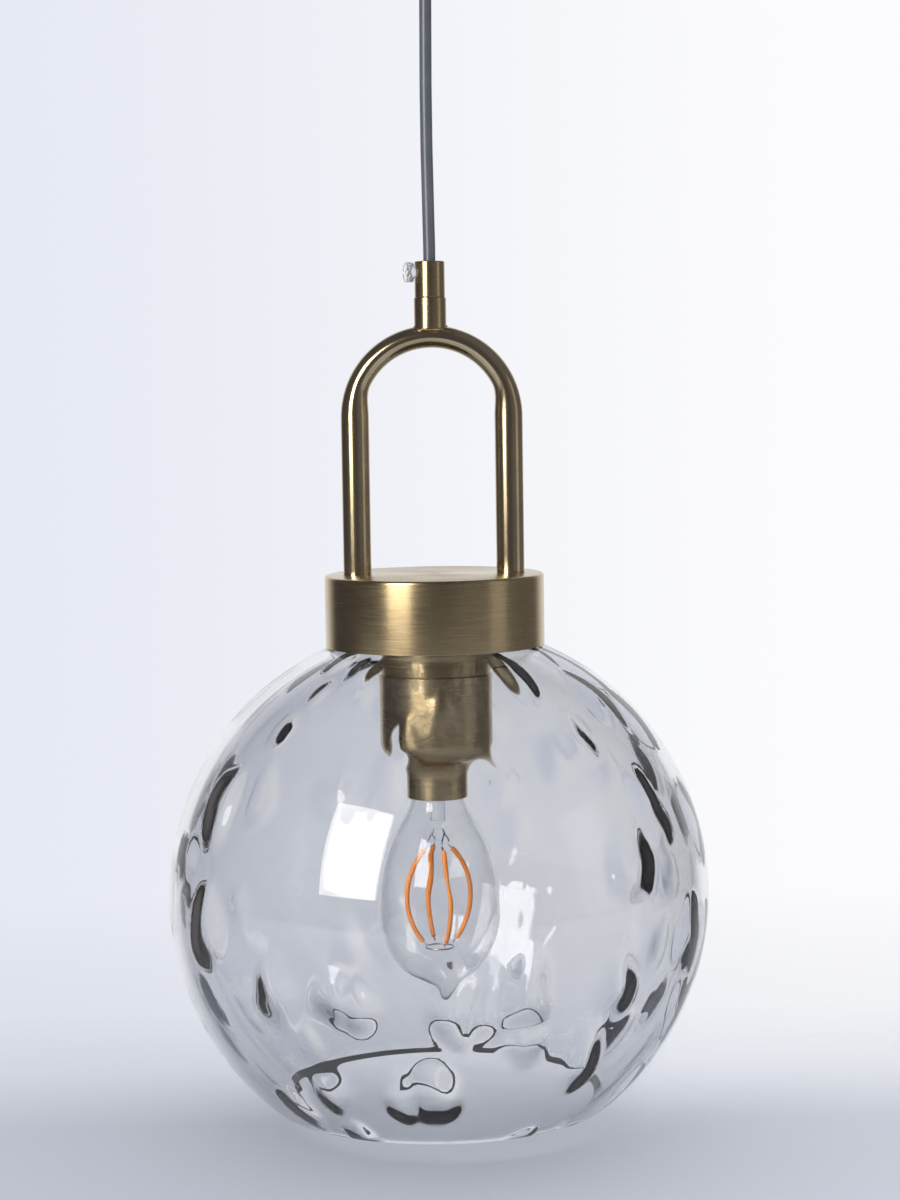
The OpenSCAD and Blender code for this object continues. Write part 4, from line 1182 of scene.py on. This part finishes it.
for node, easing in (
    ("ceiling_bracket", 0.25),
    ("canopy_cap_nuts", 0.3),
    ("canopy_grip_nut", 0.3),
    ("canopy_lock_screw", 0.35),
    ("terminal_block", 0.4),
    ("terminal_screws", 0.15),
    ("ceiling_earth_screw", 0.3),
    ("cord_tail", 0.15),
    ("grip_lock_screw", 0.35),
    ("cord_sheath_end", 0.15),
    ("leg_washers", 0.15),
    ("leg_nuts", 0.3),
    ("frame_earth_screw", 0.3),
    ("carrier_bracket", 0.25),
    ("nipple_nut", 0.3),
    ("seat_plate", 0.2),
    ("seat_gasket", 0.2),
    ("clamp_gasket", 0.2),
    ("clamp_nut", 0.3),
    ("holder_cap", 0.5),
    ("holder_body", 0.5),
    ("holder_contact", 0.1),
    ("holder_terminals", 0.2),
    ("holder_screws", 0.15),
    ("bulb_contact", 0.3),
    ("bulb_insulator", 0.15),
    ("bulb_stem", 0.3),
    ("bulb_driver", 0.15),
):
    dressed(node, easing)

for node in (
    "ceiling_live_lead",
    "ceiling_neutral_lead",
    "ceiling_earth_lead",
    "live_wire",
    "neutral_wire",
    "earth_wire",
    "lead_wire_a",
    "lead_wire_b",
    "filament_link",
):
    dressed(node, 0, rounds=1, sharp=50)


# ---- Floor, lights and surroundings ----

floor_drop = 0.012
floor_reach = 2.4
floor_middle_y = -0.45
# The floor's cover, by how far past the lamp's far side a point lies
floor_stops = ((0.0, 0.9), (0.055, 0.78), (0.18, 0.46), (0.4, 0.2), (1.0, 0.0))


def make_floor():
    """A pale floor just below the globe that fades into the surroundings on all sides, its colour
    painted lighter towards +x as a painted pool of light.
    """
    mesh = bpy.data.meshes.new("studio_floor")
    made = bmesh.new()
    bmesh.ops.create_circle(made, cap_ends=True, segments=96, radius=floor_reach)
    made.to_mesh(mesh)
    made.free()
    mesh.transform(Matrix.Translation((0, floor_middle_y, globe_low.z - floor_drop)))
    surface, tree, shader = finish_of("studio_floor", Roughness=0.7, Specular_IOR_Level=0.1)
    place = object_place(tree)
    xyz = split(tree, place)
    away = maths(tree, "SUBTRACT", xyz[1], floor_middle_y)
    across = maths(tree, "MULTIPLY", xyz[0], 0.45)
    distance = vectors(tree, "LENGTH", together(tree, across, away))
    far = maths(tree, "ADD", distance, floor_middle_y)
    fade = add(tree, "ShaderNodeValToRGB", {0: ranged(tree, far, 0.0, 0.55)})
    ramp = fade.color_ramp.elements
    while len(ramp) < len(floor_stops):
        ramp.new(0.5)
    for stop, (spot, level) in zip(ramp, floor_stops):
        stop.position = spot
        stop.color = (level, level, level, 1)
    cloud = noise(tree, place, 3.0, 2.0)
    tone = blend_colour(tree, cloud, (0.42, 0.45, 0.52, 1), (0.44, 0.47, 0.54, 1))
    # Painted light: the floor's colour grows lighter towards +x, where more light falls.
    lit = ranged(tree, xyz[0], -0.1, 0.3, smooth=True)
    tone = blend_colour(tree, lit, tone, (0.56, 0.59, 0.67, 1))
    tree.links.new(tone, shader.inputs["Base Color"])
    tree.links.new(fade.outputs[0], shader.inputs["Alpha"])
    mesh.materials.append(surface)
    floor = bpy.data.objects.new("studio_floor", mesh)
    scene.collection.objects.link(floor)


def soft_box(name, place, size, power, colour):
    """A soft rectangular lamp, turned to the globe's middle and itself unseen."""
    light = bpy.data.lights.new(name, "AREA")
    light.shape = "RECTANGLE"
    light.size, light.size_y = size
    light.energy = power
    light.color = colour
    lamp = bpy.data.objects.new(name, light)
    scene.collection.objects.link(lamp)
    facing = (Vector((0, 0, globe_z)) - Vector(place)).to_track_quat("-Z", "Y").to_matrix()
    lamp.matrix_world = Matrix.Translation(place) @ facing.to_4x4()
    lamp.visible_camera = False


def make_surroundings():
    """A pale studio: softly graded behind the lamp, and darker where metal mirrors the room."""
    world = bpy.data.worlds.new("pale_studio")
    world.use_nodes = True
    scene.world = world
    world.cycles.sampling_method = "NONE"
    tree = world.node_tree
    backdrop = tree.nodes["Background"]
    towards = add(tree, "ShaderNodeTexCoord").outputs["Generated"]
    xyz = split(tree, towards)
    side = ranged(tree, xyz[0], -0.18, 0.18, smooth=True)
    seen = blend_colour(tree, side, (0.799, 0.823, 0.896, 1), (0.973, 0.973, 0.991, 1))
    behind = ranged(tree, xyz[1], 0.6, 0.92, smooth=True)
    right = ranged(tree, xyz[0], 0.1, 0.7, 0.0, 0.1, smooth=True)
    lit = maths(tree, "MAXIMUM", behind, right)
    mirrored = blend_colour(tree, lit, (0.085, 0.085, 0.105, 1), (0.93, 0.94, 0.97, 1))
    path = add(tree, "ShaderNodeLightPath").outputs
    shiny = maths(tree, "GREATER_THAN", path["Glossy Depth"], 0.5)
    colour = blend_colour(tree, shiny, seen, mirrored)
    colour = blend_colour(tree, path["Is Diffuse Ray"], colour, (0.85, 0.86, 0.89, 1))
    tree.links.new(colour, backdrop.inputs["Color"])


make_floor()
make_surroundings()
soft_box("key_window", (-0.715, -0.949, globe_z + 0.529), (0.55, 0.8), 11, (1.0, 0.97, 0.92))
soft_box("side_fill", (1.3, -0.5, globe_z + 0.35), (0.5, 0.9), 0.5, (0.97, 0.98, 1.0))

scene.view_settings.view_transform = "Standard"
scene.cycles.max_bounces = 22
scene.cycles.transmission_bounces = 22
scene.cycles.glossy_bounces = 8
scene.cycles.transparent_max_bounces = 24
